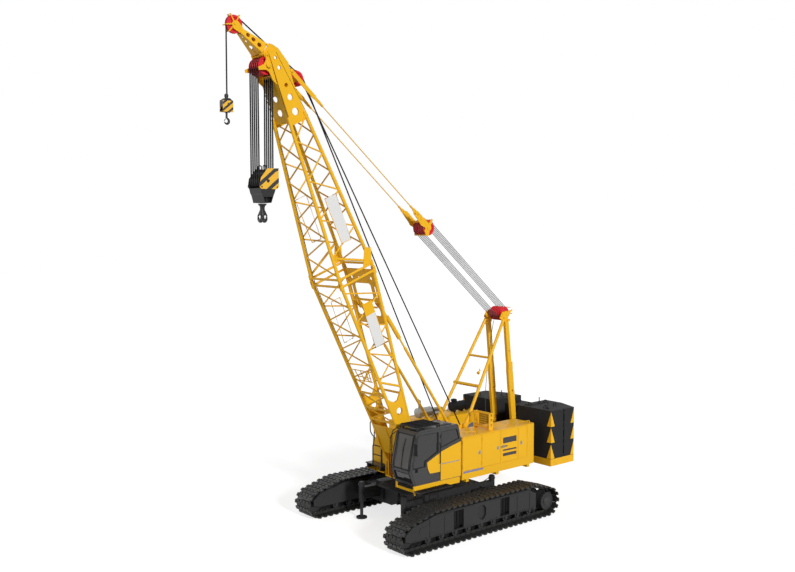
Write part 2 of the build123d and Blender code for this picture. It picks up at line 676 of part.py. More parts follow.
def chord_point(a, b, s, corner):
    """corner: (row, side) with row 0 lower and 1 upper, side 1 left and -1 right."""
    _, low, high, half = station(a, b, s)
    row, side = corner
    return boom_xyz(s, (low, high)[row], side * half)


CORNERS = [(0, 1), (0, -1), (1, -1), (1, 1)]
REAR_FACE = 2                       # the face between the two upper chords

# foot plate: outline (s, n) and holes (s, n, radius)
FOOT_PLATE = [(2491, -238), (2385, -169), (2282, -39), (2286, 87), (2518, 304), (2017, 262), (1525, 235),
              (900, 240), (120, 110), (-110, 40), (-110, -60), (60, -120), (800, -230)]
FOOT_HOLES = [(0, 0, 70), (1950, 25, 115)]
FOOT_COVER = ((420, -150), (1450, -222))
FOOT_STRUTS = [(1640, 40), (2066, 34), (2596, 34)]          # s of the front face's struts, radius

# pierced panel between the upper chords: its stretch, round holes (s, y, radius), windows (s, y, corner)
PANEL_S = (4560, 6190)
PANEL_T = 16
PANEL_HOLES = [(5975, -430, 45), (6032, 150, 45), (5958, -100, 45), (5958, 460, 45)]
PANEL_WINDOWS = [((5320, 5800), (-365, 365), 60), ((5360, 5725), (-565, -505), 25), ((5360, 5725), (505, 565), 25),
                 ((4925, 5185), (424, 516), 40), ((4925, 5185), (-516, -424), 40),
                 ((5092, 5250), (-515, 515), 40), ((4808, 5039), (-530, 530), 50)]


def lattice(a, b, nodes, ends, end_frame, rear_gap):
    """Four chords between stations a and b, with single zigzag lacing on each face from node to
    node. The rear face is left open over rear_gap, where a panel takes the lacing's place."""
    chords = []
    for c in CORNERS:
        chords.append(rod(chord_point(a, b, a[0] + ends[0], c), chord_point(a, b, b[0] - ends[1], c), CHORD_R))
    laces = []
    for face, (c0, c1) in enumerate(zip(CORNERS, CORNERS[1:] + CORNERS[:1])):
        for i, (s0, s1) in enumerate(zip(nodes, nodes[1:])):
            if face == REAR_FACE and rear_gap[0] < (s0 + s1) / 2 < rear_gap[1]:
                continue
            start, end = (c0, c1) if i % 2 == 0 else (c1, c0)
            radius = FRAME_R if i == 0 and face % 2 else LACE_R
            laces.append(rod(chord_point(a, b, s0, start), chord_point(a, b, s1, end), radius))
        laces.append(rod(chord_point(a, b, end_frame, c0), chord_point(a, b, end_frame, c1), FRAME_R))
    return join(*(chords + laces))


def foot_plate(side):
    """Plate from the chords' lower ends to the foot pin."""
    y = (FOOT_Y - 30, FOOT_Y + 30)
    outline = [boom_point(s, n) for s, n in FOOT_PLATE]
    plate = side_plate(outline, y)
    for s, n, r in FOOT_HOLES:
        x, z = boom_point(s, n)
        plate -= disc(x, z, (y[0] - 1, y[1] + 1), r)
    return plate if side > 0 else other_side(plate)


def butt_panel():
    """Pierced plate between the upper chords, under the joint of the two sections."""
    plane = across(BUTT_START, BOOM_JOINT, 1)
    start = PANEL_S[0] - BUTT_START[0]
    half = [station(BUTT_START, BOOM_JOINT, s)[3] - 20 for s in PANEL_S]
    length = PANEL_S[1] - PANEL_S[0]
    outline = [(start, -half[0]), (start + length, -half[1]), (start + length, half[1]), (start, half[0])]
    cuts = [(s - BUTT_START[0], y, r) for s, y, r in PANEL_HOLES]
    for s, y, corner in PANEL_WINDOWS:
        cuts.append(rounded([v - BUTT_START[0] for v in s], y, corner))
    return sheet(plane, outline, cuts, PANEL_T)


def foot_front():
    """Cover plate, cross struts and diagonals between the two foot plates."""
    parts = []
    (s0, n0), (s1, n1) = FOOT_COVER
    plane = across((s0, n0, n0, 0), (s1, n1, n1, 0), 0)
    inner, length = FOOT_Y - 20, hypot(s1 - s0, n1 - n0)
    parts.append(sheet(plane, [(0, -inner), (length, -inner), (length, inner), (0, inner)], [], 14))
    parts.append(sheet(plane, [(0, -25), (length, -25), (length, 25), (0, 25)], [], 60))
    for s, radius in FOOT_STRUTS:
        ends = [chord_point(BUTT_START, BOOM_JOINT, s, (0, side)) for side in (1, -1)]
        parts.append(rod(ends[0], ends[1], radius))
    for (s0, _), (s1, _) in zip(FOOT_STRUTS, FOOT_STRUTS[1:]):
        for side in (1, -1):
            start = chord_point(BUTT_START, BOOM_JOINT, s0, (0, side))
            end = chord_point(BUTT_START, BOOM_JOINT, s1, (0, -side))
            parts.append(rod(start, end, LACE_R))
    for s in (1620, 2380):
        ends = [chord_point(BUTT_START, BOOM_JOINT, s, (1, side)) for side in (1, -1)]
        parts.append(rod(ends[0], ends[1], FRAME_R))
    return parts


def boom_butt():
    butt = lattice(BUTT_START, BOOM_JOINT, BUTT_NODES, (0, JOINT_GAP), 6200, PANEL_S)
    ears = foot_front()
    ears.append(butt_panel())
    for low in (0, 1):
        for side in (1, -1):
            pin = boom_point(BOOM_JOINT[0], BOOM_JOINT[1 + low])
            root = boom_point(BOOM_JOINT[0] - 200, BOOM_JOINT[1 + low])
            y = side * BOOM_JOINT[3]
            for cheek in ((y - 46, y - 22), (y + 22, y + 46)):
                ears.append(lug_plate(pin, root, cheek, 46))
            ears.append(disc(pin[0], pin[1], (y - 60, y + 60), 24))
    # cheeks of the backstops, on a stub tube from the upper chord; their eyes hang between them
    pin = boom_point(*STOP_BOOM)
    _, _, high, half = station(BUTT_START, BOOM_JOINT, STOP_ROOT_S)
    root = boom_point(STOP_ROOT_S, high)
    for side in (1, -1):
        for low in (STOP_Y - 52, STOP_Y + 36):
            ears.append(lug_plate(pin, root, sorted((side * low, side * (low + 16))), 60))
        for low in (STOP_Y - 72, STOP_Y + 50):
            ears.append(disc(pin[0], pin[1], sorted((side * low, side * (low + 22))), 35))
        ears.append(disc(root[0], root[1], sorted((side * (STOP_Y - 60), side * half)), 42))
    return join(butt, foot_plate(1), foot_plate(-1), *ears)


# plates of the head: outline (s, n), y range, holes (s, n, radius)
HEAD_Y = (345, 370)
KNUCKLE_Y = (285, 310)              # plates that carry the tip extension
HEAD_PLATES = [
    ([(10758, -290), (12759, -303), (12776, 34), (12325, 213), (11776, 169), (11098, 240), (10780, 262)], HEAD_Y,
     [(12553, -136, 45), (12282, -118, 57), (11802, -74, 62), (11477, -75, 86), (11078, -56, 104)]),
    ([(12738, -362), (12580, -400), (12485, -517), (12472, -704), (12391, -712), (12333, -501), (12250, -430),
      (12032, -412), (11876, -316), (11876, -250), (12738, -250)], (320, 346), [(12649, -340, 30)]),
    ([(12560, -380), (12757, -405), (12942, -146), (12898, -60), (12775, 60), (12600, 60)], KNUCKLE_Y, [])]
# front face of the head: stretch, n, and holes (s, y, radius)
HEAD_FRONT_S = (10839, 12150)
HEAD_FRONT_N = (-296, -300)
HEAD_FRONT_HOLES = [(11144, 0, 105), (11526, 0, 96)]
HEAD_TUBES = [(12660, -60, 35, 370), (12700, -345, 25, 346), (12080, -190, 40, 370), (11250, -230, 30, 370),
              (11250, 60, 30, 370)]                          # s, n, radius, half length
EAR = [(6461, 299), (6452, 608), (6772, 719), (6856, 737), (6942, 529)]
EAR_Y = (692, 706)


def head_plates():
    parts = []
    for outline, y, holes in HEAD_PLATES:
        for ys in (y, flip(y)):
            plate = side_plate([boom_point(s, n) for s, n in outline], ys)
            for s, n, r in holes:
                x, z = boom_point(s, n)
                plate -= disc(x, z, (ys[0] - 1, ys[1] + 1), r)
            parts.append(plate)
    return parts


def lug(s, n, y, radius, root):
    return lug_plate(boom_point(s, n), boom_point(*root), y, radius)


GUIDE_S, GUIDE_N = 11845, 520
GUIDE_ROOT = (11802, -74)
PEND_S, PEND_N = 12092, 286
PEND_ROOT = (12080, -190)
PEND_Y = 272                        # middle of a pendant's bars


def head_front():
    """Pierced plate between the side plates' front edges, and the plain one behind them."""
    start, end = HEAD_FRONT_S
    plane = across((start, HEAD_FRONT_N[0], HEAD_FRONT_N[0], 0), (end, HEAD_FRONT_N[1], HEAD_FRONT_N[1], 0), 0)
    width = HEAD_Y[1] - 5
    outline = [(0, -width), (end - start, -width), (end - start, width), (0, width)]
    return sheet(plane, outline, [(s - start, y, r) for s, y, r in HEAD_FRONT_HOLES], 12)


def boom_head():
    head = lattice(BOOM_JOINT, HEAD_START, HEAD_NODES, (JOINT_GAP, 0), 6415, (0, 0))
    parts = head_plates()
    parts.append(head_front())
    for low in (0, 1):
        for side in (1, -1):
            pin = boom_point(BOOM_JOINT[0], BOOM_JOINT[1 + low])
            root = boom_point(BOOM_JOINT[0] + 200, BOOM_JOINT[1 + low])
            y = side * BOOM_JOINT[3]
            parts.append(lug_plate(pin, root, (y - 20, y + 20), 46) - disc(pin[0], pin[1], (y - 21, y + 21), 25))
    for side in (1, -1):
        parts.append(side_plate([boom_point(s, n) for s, n in EAR], sorted((side * EAR_Y[0], side * EAR_Y[1]))))
        # cheeks of a pendant, whose eye hangs between them
        for low in (PEND_Y - 30, PEND_Y + 15):
            ys = sorted((side * low, side * (low + 15)))
            parts.append(lug(PEND_S, PEND_N, ys, 62, PEND_ROOT))
        for low in (PEND_Y - 46, PEND_Y + 28):
            px, pz = boom_point(PEND_S, PEND_N)
            parts.append(disc(px, pz, sorted((side * low, side * (low + 18))), 34))
        ys = sorted((side * 110, side * 130))
        parts.append(lug(GUIDE_S, GUIDE_N, ys, 55, GUIDE_ROOT))
    for s, n, radius, half in HEAD_TUBES:
        px, pz = boom_point(s, n)
        parts.append(disc(px, pz, (-half, half), radius))
    px, pz = boom_point(*GUIDE_ROOT)
    parts.append(disc(px, pz, (-HEAD_Y[1], HEAD_Y[1]), 66) - disc(px, pz, (-400, 400), 56))
    x, z = boom_point(HEAD_S, HEAD_N)
    parts.append(disc(x, z, (-HEAD_Y[1] - 25, HEAD_Y[1] + 25), 45))
    px, pz = boom_point(GUIDE_S, GUIDE_N)
    parts.append(disc(px, pz, (-150, 150), 30))
    return join(head, *parts)


def guide_sheaves():
    x, z = boom_point(GUIDE_S, GUIDE_N)
    return Compound([grooved(x, z, (y, y + 60), 212, 31) for y in (-80, 20)])


# tip extension: side plate corners (s, n) at its root and end, and its half widths there
TIP_ROOT = [(12757, -401), (12942, -146)]
TIP_END = [(13479, -616), (13392, -728)]
TIP_ROOT_Y, TIP_END_Y = 280, 75
TIP_HOLES = [(13293, -561, 52), (13146, -474, 56), (12973, -383, 60)]
TIP_FRONT_HOLES = [(585, 0, 25), (454, 0, 38), (234, 0, 70), (100, 0, 35)]      # distance from the root, y, radius
TIP_PINS = [(12815, -355), (12930, -190)]
FORK = [(13430, -625), (13400, -735), (13540, -880), (13680, -885), (13735, -800), (13700, -690), (13500, -600)]
FORK_Y = (57, 79)
STAR_ANGLES = (-7, 51, 242, 283)    # rope guards round the tip sheave, from the boom's direction
STAR_R = 270


def tip_y(s):
    """Half width of the tip extension, which tapers from the head to the tip sheave."""
    share = (s - TIP_ROOT[0][0]) / (TIP_END[0][0] - TIP_ROOT[0][0])
    return TIP_ROOT_Y + (TIP_END_Y - TIP_ROOT_Y) * share


def slanted_plate(points, side, thick):
    """Plate of (s, n) points whose outer face follows the tip extension's taper."""
    corners = [boom_xyz(s, n, side * tip_y(s)) for s, n in points]
    return extrude(make_face(Polyline(*corners, close=True)), amount=thick, dir=(0, -side, 0))


def tip_face(a, b, holes, reach):
    """Plate across the tip extension between points a and b of its side plates."""
    plane = across((a[0], a[1], a[1], 0), (b[0], b[1], b[1], 0), 0)
    length = hypot(b[0] - a[0], b[1] - a[1])
    wide = [tip_y(a[0]) - reach, tip_y(b[0]) - reach]
    outline = [(0, -wide[0]), (length, -wide[1]), (length, wide[1]), (0, wide[0])]
    return sheet(plane, outline, holes, 12)


def tip_extension():
    parts = []
    for side in (1, -1):
        plate = slanted_plate(TIP_ROOT + TIP_END, side, 16)
        for s, n, r in TIP_HOLES:
            x, z = boom_point(s, n)
            plate -= disc(x, z, (-400, 400), r)
        parts.append(plate)
        ys = sorted((side * FORK_Y[0], side * FORK_Y[1]))
        parts.append(side_plate([boom_point(s, n) for s, n in FORK], ys))
        for angle in STAR_ANGLES:
            a = radians(angle)
            reach = (TIP_S + STAR_R * cos(a), TIP_N + STAR_R * sin(a))
            start, end = boom_point(TIP_S, TIP_N), boom_point(*reach)
            parts.append(lug_plate(end, start, ys, 15))
    for angle in STAR_ANGLES:
        a = radians(angle)
        x, z = boom_point(TIP_S + STAR_R * cos(a), TIP_N + STAR_R * sin(a))
        parts.append(disc(x, z, (-FORK_Y[1] - 12, FORK_Y[1] + 12), 9))
    parts.append(tip_face(TIP_ROOT[0], (13378, -716), TIP_FRONT_HOLES, 8))
    parts.append(tip_face(TIP_ROOT[1], (13460, -599), [], 8))
    for s, n in TIP_PINS:
        x, z = boom_point(s, n)
        parts.append(disc(x, z, (-KNUCKLE_Y[0] + 1, KNUCKLE_Y[0] - 1), 25))
    x, z = boom_point(TIP_S, TIP_N)
    parts.append(disc(x, z, (-FORK_Y[1] - 20, FORK_Y[1] + 20), 35))
    return join(*parts)


def sheave_pack(x, z, count, half, radius, bore):
    width = 2 * half / count
    tube = disc(x, z, (-half, half), bore + 38) - disc(x, z, (-half - 1, half + 1), bore)
    wheels = []
    for i in range(count):
        low = -half + i * width
        wheels.append(grooved(x, z, (low + 3, low + width - 3), radius, bore))
    return join(tube, *wheels)


def main_sheaves():
    x, z = boom_point(HEAD_S, HEAD_N)
    return sheave_pack(x, z, 5, 240, SHEAVE_R, 46)


def tip_sheave():
    x, z = boom_point(TIP_S, TIP_N)
    return sheave_pack(x, z, 1, 40, SHEAVE_R, 36)


# ---- luffing line -------------------------------------------------------------------

PEND_X, PEND_Z = boom_point(PEND_S, PEND_N)
LINE_A = atan2(PEND_Z - GANTRY[1], PEND_X - GANTRY[0])
LINE_L = hypot(PEND_Z - GANTRY[1], PEND_X - GANTRY[0])


LUFF_HALF, LUFF_R = 230, 228        # luffing sheaves, half width of a pack and radius
BRIDLE_Y = (236, 258)
BRIDLE_PLATE = [(5161, 30), (5035, 90), (4695, 85), (4477, 95), (4336, 95), (4305, -24), (4230, -200), (4330, -267),
                (4405, -200), (4455, -203), (4473, -99), (4674, -152), (4789, -119), (5121, -76)]
BRIDLE_ARM = [(4350, 60), (4470, 60), (4466, 284), (4410, 284)]
BRIDLE_TUBES = [(4438, 253, 18), (4330, -256, 16), (4690, -20, 32)]             # d, n, radius
PEND_LOW_D = 5091                   # pendants' pins on the bridle
PEND_ROUNDS = [(5185, 5383, 28), (5360, 9530, 15), (9514, 9651, 30)]            # d low, d high, radius
PEND_FLATS = [(PEND_LOW_D, 5200, 52, 10), (9640, 9900, 42, 8), (9880, LINE_L, 60, 10)]


def line_point(d, n=0.0):
    """Point (x, z) at d from the gantry's shaft towards the boom head, n above the line."""
    return GANTRY[0] + d * cos(LINE_A) - n * sin(LINE_A), GANTRY[1] + d * sin(LINE_A) + n * cos(LINE_A)


def gantry_sheaves():
    return sheave_pack(GANTRY[0], GANTRY[1], 6, LUFF_HALF, LUFF_R, 49)


def bridle():
    parts = []
    for side in (1, -1):
        y = sorted((side * BRIDLE_Y[0], side * BRIDLE_Y[1]))
        parts.append(side_plate([line_point(d, n) for d, n in BRIDLE_PLATE], y))
        parts.append(side_plate([line_point(d, n) for d, n in BRIDLE_ARM], y))
    x, z = line_point(BRIDLE_D)
    parts.append(disc(x, z, (-BRIDLE_Y[1] - 25, BRIDLE_Y[1] + 25), 45))
    for d, n, radius in BRIDLE_TUBES:
        x, z = line_point(d, n)
        parts.append(disc(x, z, (-BRIDLE_Y[1], BRIDLE_Y[1]), radius))
    x, z = line_point(PEND_LOW_D)
    for side in (1, -1):
        parts.append(disc(x, z, sorted((side * BRIDLE_Y[0], side * (PEND_Y + 18))), 24))
    return join(*parts)


def bridle_sheaves():
    x, z = line_point(BRIDLE_D)
    return sheave_pack(x, z, 6, LUFF_HALF, LUFF_R, 46)


def pendants():
    """On each side: an eye and a sleeve at the bridle, a long rod, then sleeve, link and flat bar."""
    shapes = []
    for side in (1, -1):
        y = side * PEND_Y
        parts = []
        for d0, d1, radius in PEND_ROUNDS:
            (x0, z0), (x1, z1) = line_point(d0), line_point(d1)
            parts.append(rod((x0, y, z0), (x1, y, z1), radius))
        for d0, d1, height, half in PEND_FLATS:
            ys = (y - half, y + half)
            parts.append(lug_plate(line_point(d1), line_point(d0), ys, height))
            parts.append(disc(*line_point(d0), ys, height))
        bar = join(*parts) - disc(*line_point(LINE_L), (y - 20, y + 20), 30)
        shapes.append(bar - disc(*line_point(PEND_LOW_D), (y - 20, y + 20), 26))
    return Compound(shapes)


# ---- backstops ----------------------------------------------------------------------

STOP_BOOM = (5000, 640)             # s and n of the upper pin
STOP_BASE = (-640, 2600)            # x and z of the lower pin
STOP_Y = 470
STOP_ROOT_S = 5230                  # s of the stub tube that carries the cheeks


def backstop(kind):
    """Telescopic stop: a long tube on the deck, and a rod with a spring case on the boom."""
    bx, bz = boom_point(*STOP_BOOM)
    ax, az = STOP_BASE
    length = hypot(bx - ax, bz - az)

    def at(d, y):
        return ax + (bx - ax) * d / length, y, az + (bz - az) * d / length

    shapes = []
    for y in (STOP_Y, -STOP_Y):
        if kind == "tube":
            bar = rod(at(0, y), at(3420, y), 44) - rod(at(1300, y), at(3430, y), 30)
            bar = join(bar, disc(ax, az, (y - 30, y + 30), 72)) - disc(ax, az, (y - 60, y + 60), 37)
        else:
            bar = join(rod(at(1900, y), at(length, y), 28), rod(at(3800, y), at(length - 330, y), 64))
            bar = join(bar, disc(bx, bz, (y - 28, y + 28), 50)) - disc(bx, bz, (y - 70, y + 70), 30)
        shapes.append(bar)
    return Compound(shapes)


# ---- hooks --------------------------------------------------------------------------

HEAD_X, HEAD_Z = boom_point(HEAD_S, HEAD_N)
TIP_X, TIP_Z = boom_point(TIP_S, TIP_N)
ROPE_X = TIP_X + SHEAVE_R
AUX_HALF = 150                      # auxiliary block, half width
HOOK_TOP = 590                      # hook block shaft to the top of its hook
# hook block, from its shaft: side plates, body and neck (x, z)
BLOCK_Y = (280, 295)
BLOCK_PLATE = [(225, 66), (21, 323), (-332, 337), (-336, -152), (-270, -217), (210, -214), (264, -153)]
BLOCK_BODY = [(-250, -190), (230, -190), (190, -330), (130, -420), (-130, -420), (-200, -330)]
BLOCK_NECK = [(-130, -400), (130, -400), (95, -580), (-95, -580)]


def hook_ring(centre, axis, big, small, start, sweep):
    """Part of a ring with an eight-sided section, from an angle on over sweep degrees."""
    corners = [(big + small * cos(a), small * sin(a)) for a in (radians(22.5 + 45 * i) for i in range(8))]
    section = make_face(Polyline(*[(r, 0, v) for r, v in corners], close=True))
    ring = Rot(0, 0, start) * revolve(section, Axis.Z, sweep)
    if axis == "x":
        return Plane(origin=centre, x_dir=(0, 1, 0), z_dir=(1, 0, 0)) * ring
    return Plane(origin=centre, x_dir=(1, 0, 0), z_dir=(0, -1, 0)) * ring


def hook_block():
    x, z = HEAD_X, HEAD_Z - HOOK_DROP
    parts = []
    for y in (BLOCK_Y, flip(BLOCK_Y)):
        parts.append(side_plate([(x + dx, z + dz) for dx, dz in BLOCK_PLATE], y))
    parts.append(disc(x, z, (-BLOCK_Y[1] - 12, BLOCK_Y[1] + 12), 45))
    parts.append(sheave_pack(x, z, 5, 250, 225, 40))
    parts.append(side_plate([(x + dx, z + dz) for dx, dz in BLOCK_BODY], (-BLOCK_Y[0] - 5, BLOCK_Y[0] + 5)))
    parts.append(side_plate([(x + dx, z + dz) for dx, dz in BLOCK_NECK], (-150, 150)))
    return join(*parts)


def ramshorn():
    x, z = HEAD_X, HEAD_Z - HOOK_DROP - HOOK_TOP
    parts = [rod((x, 0, z - 340), (x, 0, z), 46)]
    for side, start in ((1, -230), (-1, -180)):
        parts.append(hook_ring((x, side * 108, z - 372), "x", 72, 34, start, 230))
    return join(*parts)


def aux_block():
    x, z = ROPE_X, TIP_Z - AUX_DROP
    parts = [rod((x, 0, z - 10), (x, 0, z + 110), 45)]
    w = AUX_HALF
    parts.append(side_plate([(x - w, z - 60), (x - 60, z), (x + 60, z), (x + w, z - 60), (x + w, z - 220),
                             (x, z - 330), (x - w, z - 220)], (-75, 75)))
    return join(*parts)


def aux_hook():
    x, z = ROPE_X, TIP_Z - AUX_DROP - 335
    shank = rod((x, 0, z - 160), (x, 0, z), 28)
    return join(shank, hook_ring((x, 0, z - 215), "y", 70, 26, 90, 265))


# ---- all pieces ---------------------------------------------------------------------


def nodes():
    made = {
        "carbody": carbody(),
        "slew_ring": Pos(0, 0, sum(RING_Z) / 2) * (Cylinder(RING_R, RING_Z[1] - RING_Z[0] - 10)
                                                   - Cylinder(RING_R - 150, 400)),
        "track_frame_left": track_frame(1),
        "track_frame_right": track_frame(-1),
        "track_left": track(1),
        "track_right": track(-1),
        "idlers": idlers(),
        "sprockets": sprockets(),
        "lower_rollers": lower_rollers(),
        "carrier_rollers": upper_rollers(),
        "final_drives": final_drives(),
        "jack_tubes": jack_tubes(),
        "jack_rods": jack_rods(),
        "upper_frame": upper_frame(),
        "housing_left": housing(1, DOORS_LEFT),
        "housing_right": housing(-1, DOORS_RIGHT),
        "engine": engine(),
        "cab_shell": cab_shell(),
        "cab_door": cab_door(),
        "cab_side_panels": cab_side_panels(),
        "cab_glass": cab_glass(),
        "cab_seat": cab_seat(),
        "counterweight_tray": counterweight_tray(),
        "counterweight_left": counterweights(1),
        "counterweight_right": counterweights(-1),
        "gantry": gantry(),
        "muffler": muffler(),
        "air_cleaner": air_cleaner(),
        "front_tank": front_tank(),
        "walkway": walkway(),
        "roof_rack": roof_rack(),
        "boom_butt": boom_butt(),
        "boom_head": boom_head(),
        "guide_sheaves": guide_sheaves(),
        "tip_extension": tip_extension(),
        "main_sheaves": main_sheaves(),
        "tip_sheave": tip_sheave(),
        "gantry_sheaves": gantry_sheaves(),
        "bridle": bridle(),
        "bridle_sheaves": bridle_sheaves(),
        "pendants": pendants(),
        "backstop_tubes": backstop("tube"),
        "backstop_rods": backstop("rod"),
        "hook_block": hook_block(),
        "ramshorn_hook": ramshorn(),
        "aux_block": aux_block(),
        "aux_hook": aux_hook(),
    }
    for name in DRUMS:
        made[name] = winch_drum(name)
    for name, hinge, latch in DOORS_LEFT:
        made[name] = door(hinge, latch, 1)
    for name, hinge, latch in DOORS_RIGHT:
        made[name] = door(hinge, latch, -1)
    return made


MIDDLE_X = (ROPE_X + AUX_HALF + TAIL_X) / 2    # middle of the overall length, from the slewing axis


def main():
    os.makedirs("parts", exist_ok=True)
    for name, shape in nodes().items():
        export_step(Pos(-MIDDLE_X, 0, 0) * shape, "parts/" + name + ".step")


if __name__ == "__main__":
    main()
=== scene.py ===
import bpy, bmesh
from math import acos, atan2, cos, hypot, pi, radians, sin
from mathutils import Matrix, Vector


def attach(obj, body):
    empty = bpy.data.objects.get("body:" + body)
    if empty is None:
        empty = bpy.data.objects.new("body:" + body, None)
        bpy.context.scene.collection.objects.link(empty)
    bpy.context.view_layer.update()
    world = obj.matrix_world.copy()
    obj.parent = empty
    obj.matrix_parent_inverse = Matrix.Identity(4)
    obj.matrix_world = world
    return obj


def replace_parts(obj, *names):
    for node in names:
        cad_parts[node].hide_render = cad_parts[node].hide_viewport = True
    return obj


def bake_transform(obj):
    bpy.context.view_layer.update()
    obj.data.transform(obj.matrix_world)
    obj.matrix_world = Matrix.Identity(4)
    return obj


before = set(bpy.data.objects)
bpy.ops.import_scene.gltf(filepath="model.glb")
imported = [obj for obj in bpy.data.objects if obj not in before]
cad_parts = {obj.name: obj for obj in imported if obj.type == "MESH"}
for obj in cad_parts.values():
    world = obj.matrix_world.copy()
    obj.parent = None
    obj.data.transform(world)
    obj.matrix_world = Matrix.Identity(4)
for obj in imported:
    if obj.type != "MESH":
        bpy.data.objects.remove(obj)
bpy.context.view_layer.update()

midX = 1.110197                     # slewing axis to the middle of the overall box, in metres
boomFoot = (975, 1745)              # the boom's foot pin, in mm from the slewing axis and the ground
boomAngle = radians(68.5)
gantryTop = (-3160, 6125)           # shaft of the luffing sheaves on the gantry
drums = {"main": (-420, 2120), "aux": (-1420, 2120), "luffing": (-2420, 2120)}


def row(x, y, z):
    # millimetres from the slewing axis to metres in the row frame
    return Vector((x / 1000 - midX, y / 1000, z / 1000))


def boomPoint(s, n):
    # s along the boom from its foot, n above its centre line, in mm
    c, t = cos(boomAngle), sin(boomAngle)
    return boomFoot[0] + s * c - n * t, boomFoot[1] + s * t + n * c


headShaft, tipShaft, guideShaft = boomPoint(12430, -405), boomPoint(13647, -794), boomPoint(11845, 520)
pendantPin = boomPoint(12092, 286)
lineAngle = atan2(pendantPin[1] - gantryTop[1], pendantPin[0] - gantryTop[0])
bridleShaft = (gantryTop[0] + 4370 * cos(lineAngle), gantryTop[1] + 4370 * sin(lineAngle))
blockShaft = (headShaft[0], headShaft[1] - 2990)


def arcPoints(centre, r, a0, a1, y, steps):
    angles = (a0 + (a1 - a0) * k / steps for k in range(steps + 1))
    return [(centre[0] + r * cos(a), y, centre[1] + r * sin(a)) for a in angles]


def setInputs(tree, node, inputs):
    # each input gets a value, or the output that feeds it
    for socket, value in inputs.items():
        if isinstance(value, bpy.types.NodeSocket):
            tree.links.new(value, node.inputs[socket])
        else:
            node.inputs[socket].default_value = value


def addNode(tree, kind, inputs=None, **fields):
    node = tree.nodes.new(kind)
    for field, value in fields.items():
        setattr(node, field, value)
    setInputs(tree, node, inputs or {})
    return node


def calc(tree, operation, a, b=0.0):
    return addNode(tree, "ShaderNodeMath", {0: a, 1: b}, operation=operation).outputs[0]


def seenRay(tree):
    # 1 for what the camera sees straight, through glass or mirrored
    ray = addNode(tree, "ShaderNodeLightPath").outputs
    straight = calc(tree, "MAXIMUM", ray["Is Camera Ray"], ray["Is Transmission Ray"])
    return calc(tree, "MAXIMUM", straight, ray["Is Glossy Ray"])


def makeStage():
    settings = {"place": (19.09 - midX, 21.26, 8.954), "look": (-0.642, -0.764, -0.063), "lens": 42.13,
                "key": 2.25, "fill": 0.5, "rim": 0.3, "sky": 0.25, "floorHalf": 160, "floorGlow": 0.73}
    scene = bpy.context.scene
    scene.view_settings.view_transform = "Standard"
    cam = bpy.data.objects.new("camera", bpy.data.cameras.new("camera"))
    cam.data.lens = settings["lens"]
    cam.data.sensor_width = 36
    cam.data.clip_end = 400
    cam.location = settings["place"]
    cam.rotation_euler = Vector(settings["look"]).to_track_quat("-Z", "Y").to_euler()
    scene.collection.objects.link(cam)
    scene.camera = cam

    for name, spread, aim in (("key", 9, (-0.16, -0.95, -0.36)), ("fill", 40, (-0.9, 0.1, -0.2)),
                              ("rim", 30, (-0.3, 0.9, -0.3))):
        sun = bpy.data.objects.new(name + "Sun", bpy.data.lights.new(name + "Sun", "SUN"))
        sun.data.energy = settings[name]
        sun.data.angle = radians(spread)
        sun.rotation_euler = Vector(aim).to_track_quat("-Z", "Y").to_euler()
        scene.collection.objects.link(sun)

    # white where it is seen, dimmer as a light
    world = bpy.data.worlds.new("studio")
    world.use_nodes = True
    scene.world = world
    tree = world.node_tree
    tree.nodes.clear()
    level = addNode(tree, "ShaderNodeMapRange",
                    {"Value": seenRay(tree), "To Min": settings["sky"], "To Max": 1.0}).outputs[0]
    back = addNode(tree, "ShaderNodeBackground", {"Color": (1, 1, 1, 1), "Strength": level})
    addNode(tree, "ShaderNodeOutputWorld", {"Surface": back.outputs[0]})

    half = settings["floorHalf"]
    floor = bpy.data.meshes.new("floor")
    floor.from_pydata([(-half, -half, 0), (half, -half, 0), (half, half, 0), (-half, half, 0)], [],
                      [(0, 1, 2, 3)])
    floorObj = bpy.data.objects.new("floor", floor)
    scene.collection.objects.link(floorObj)
    pale = bpy.data.materials.new("floorPale")
    pale.use_nodes = True
    tree = pale.node_tree
    tree.nodes.clear()
    soft = addNode(tree, "ShaderNodeBsdfDiffuse", {"Color": (0.6, 0.6, 0.6, 1)})
    glow = addNode(tree, "ShaderNodeEmission",
                   {"Strength": calc(tree, "MULTIPLY", seenRay(tree), settings["floorGlow"])})
    both = addNode(tree, "ShaderNodeAddShader", {0: soft.outputs[0], 1: glow.outputs[0]})
    addNode(tree, "ShaderNodeOutputMaterial", {"Surface": both.outputs[0]})
    floor.materials.append(pale)


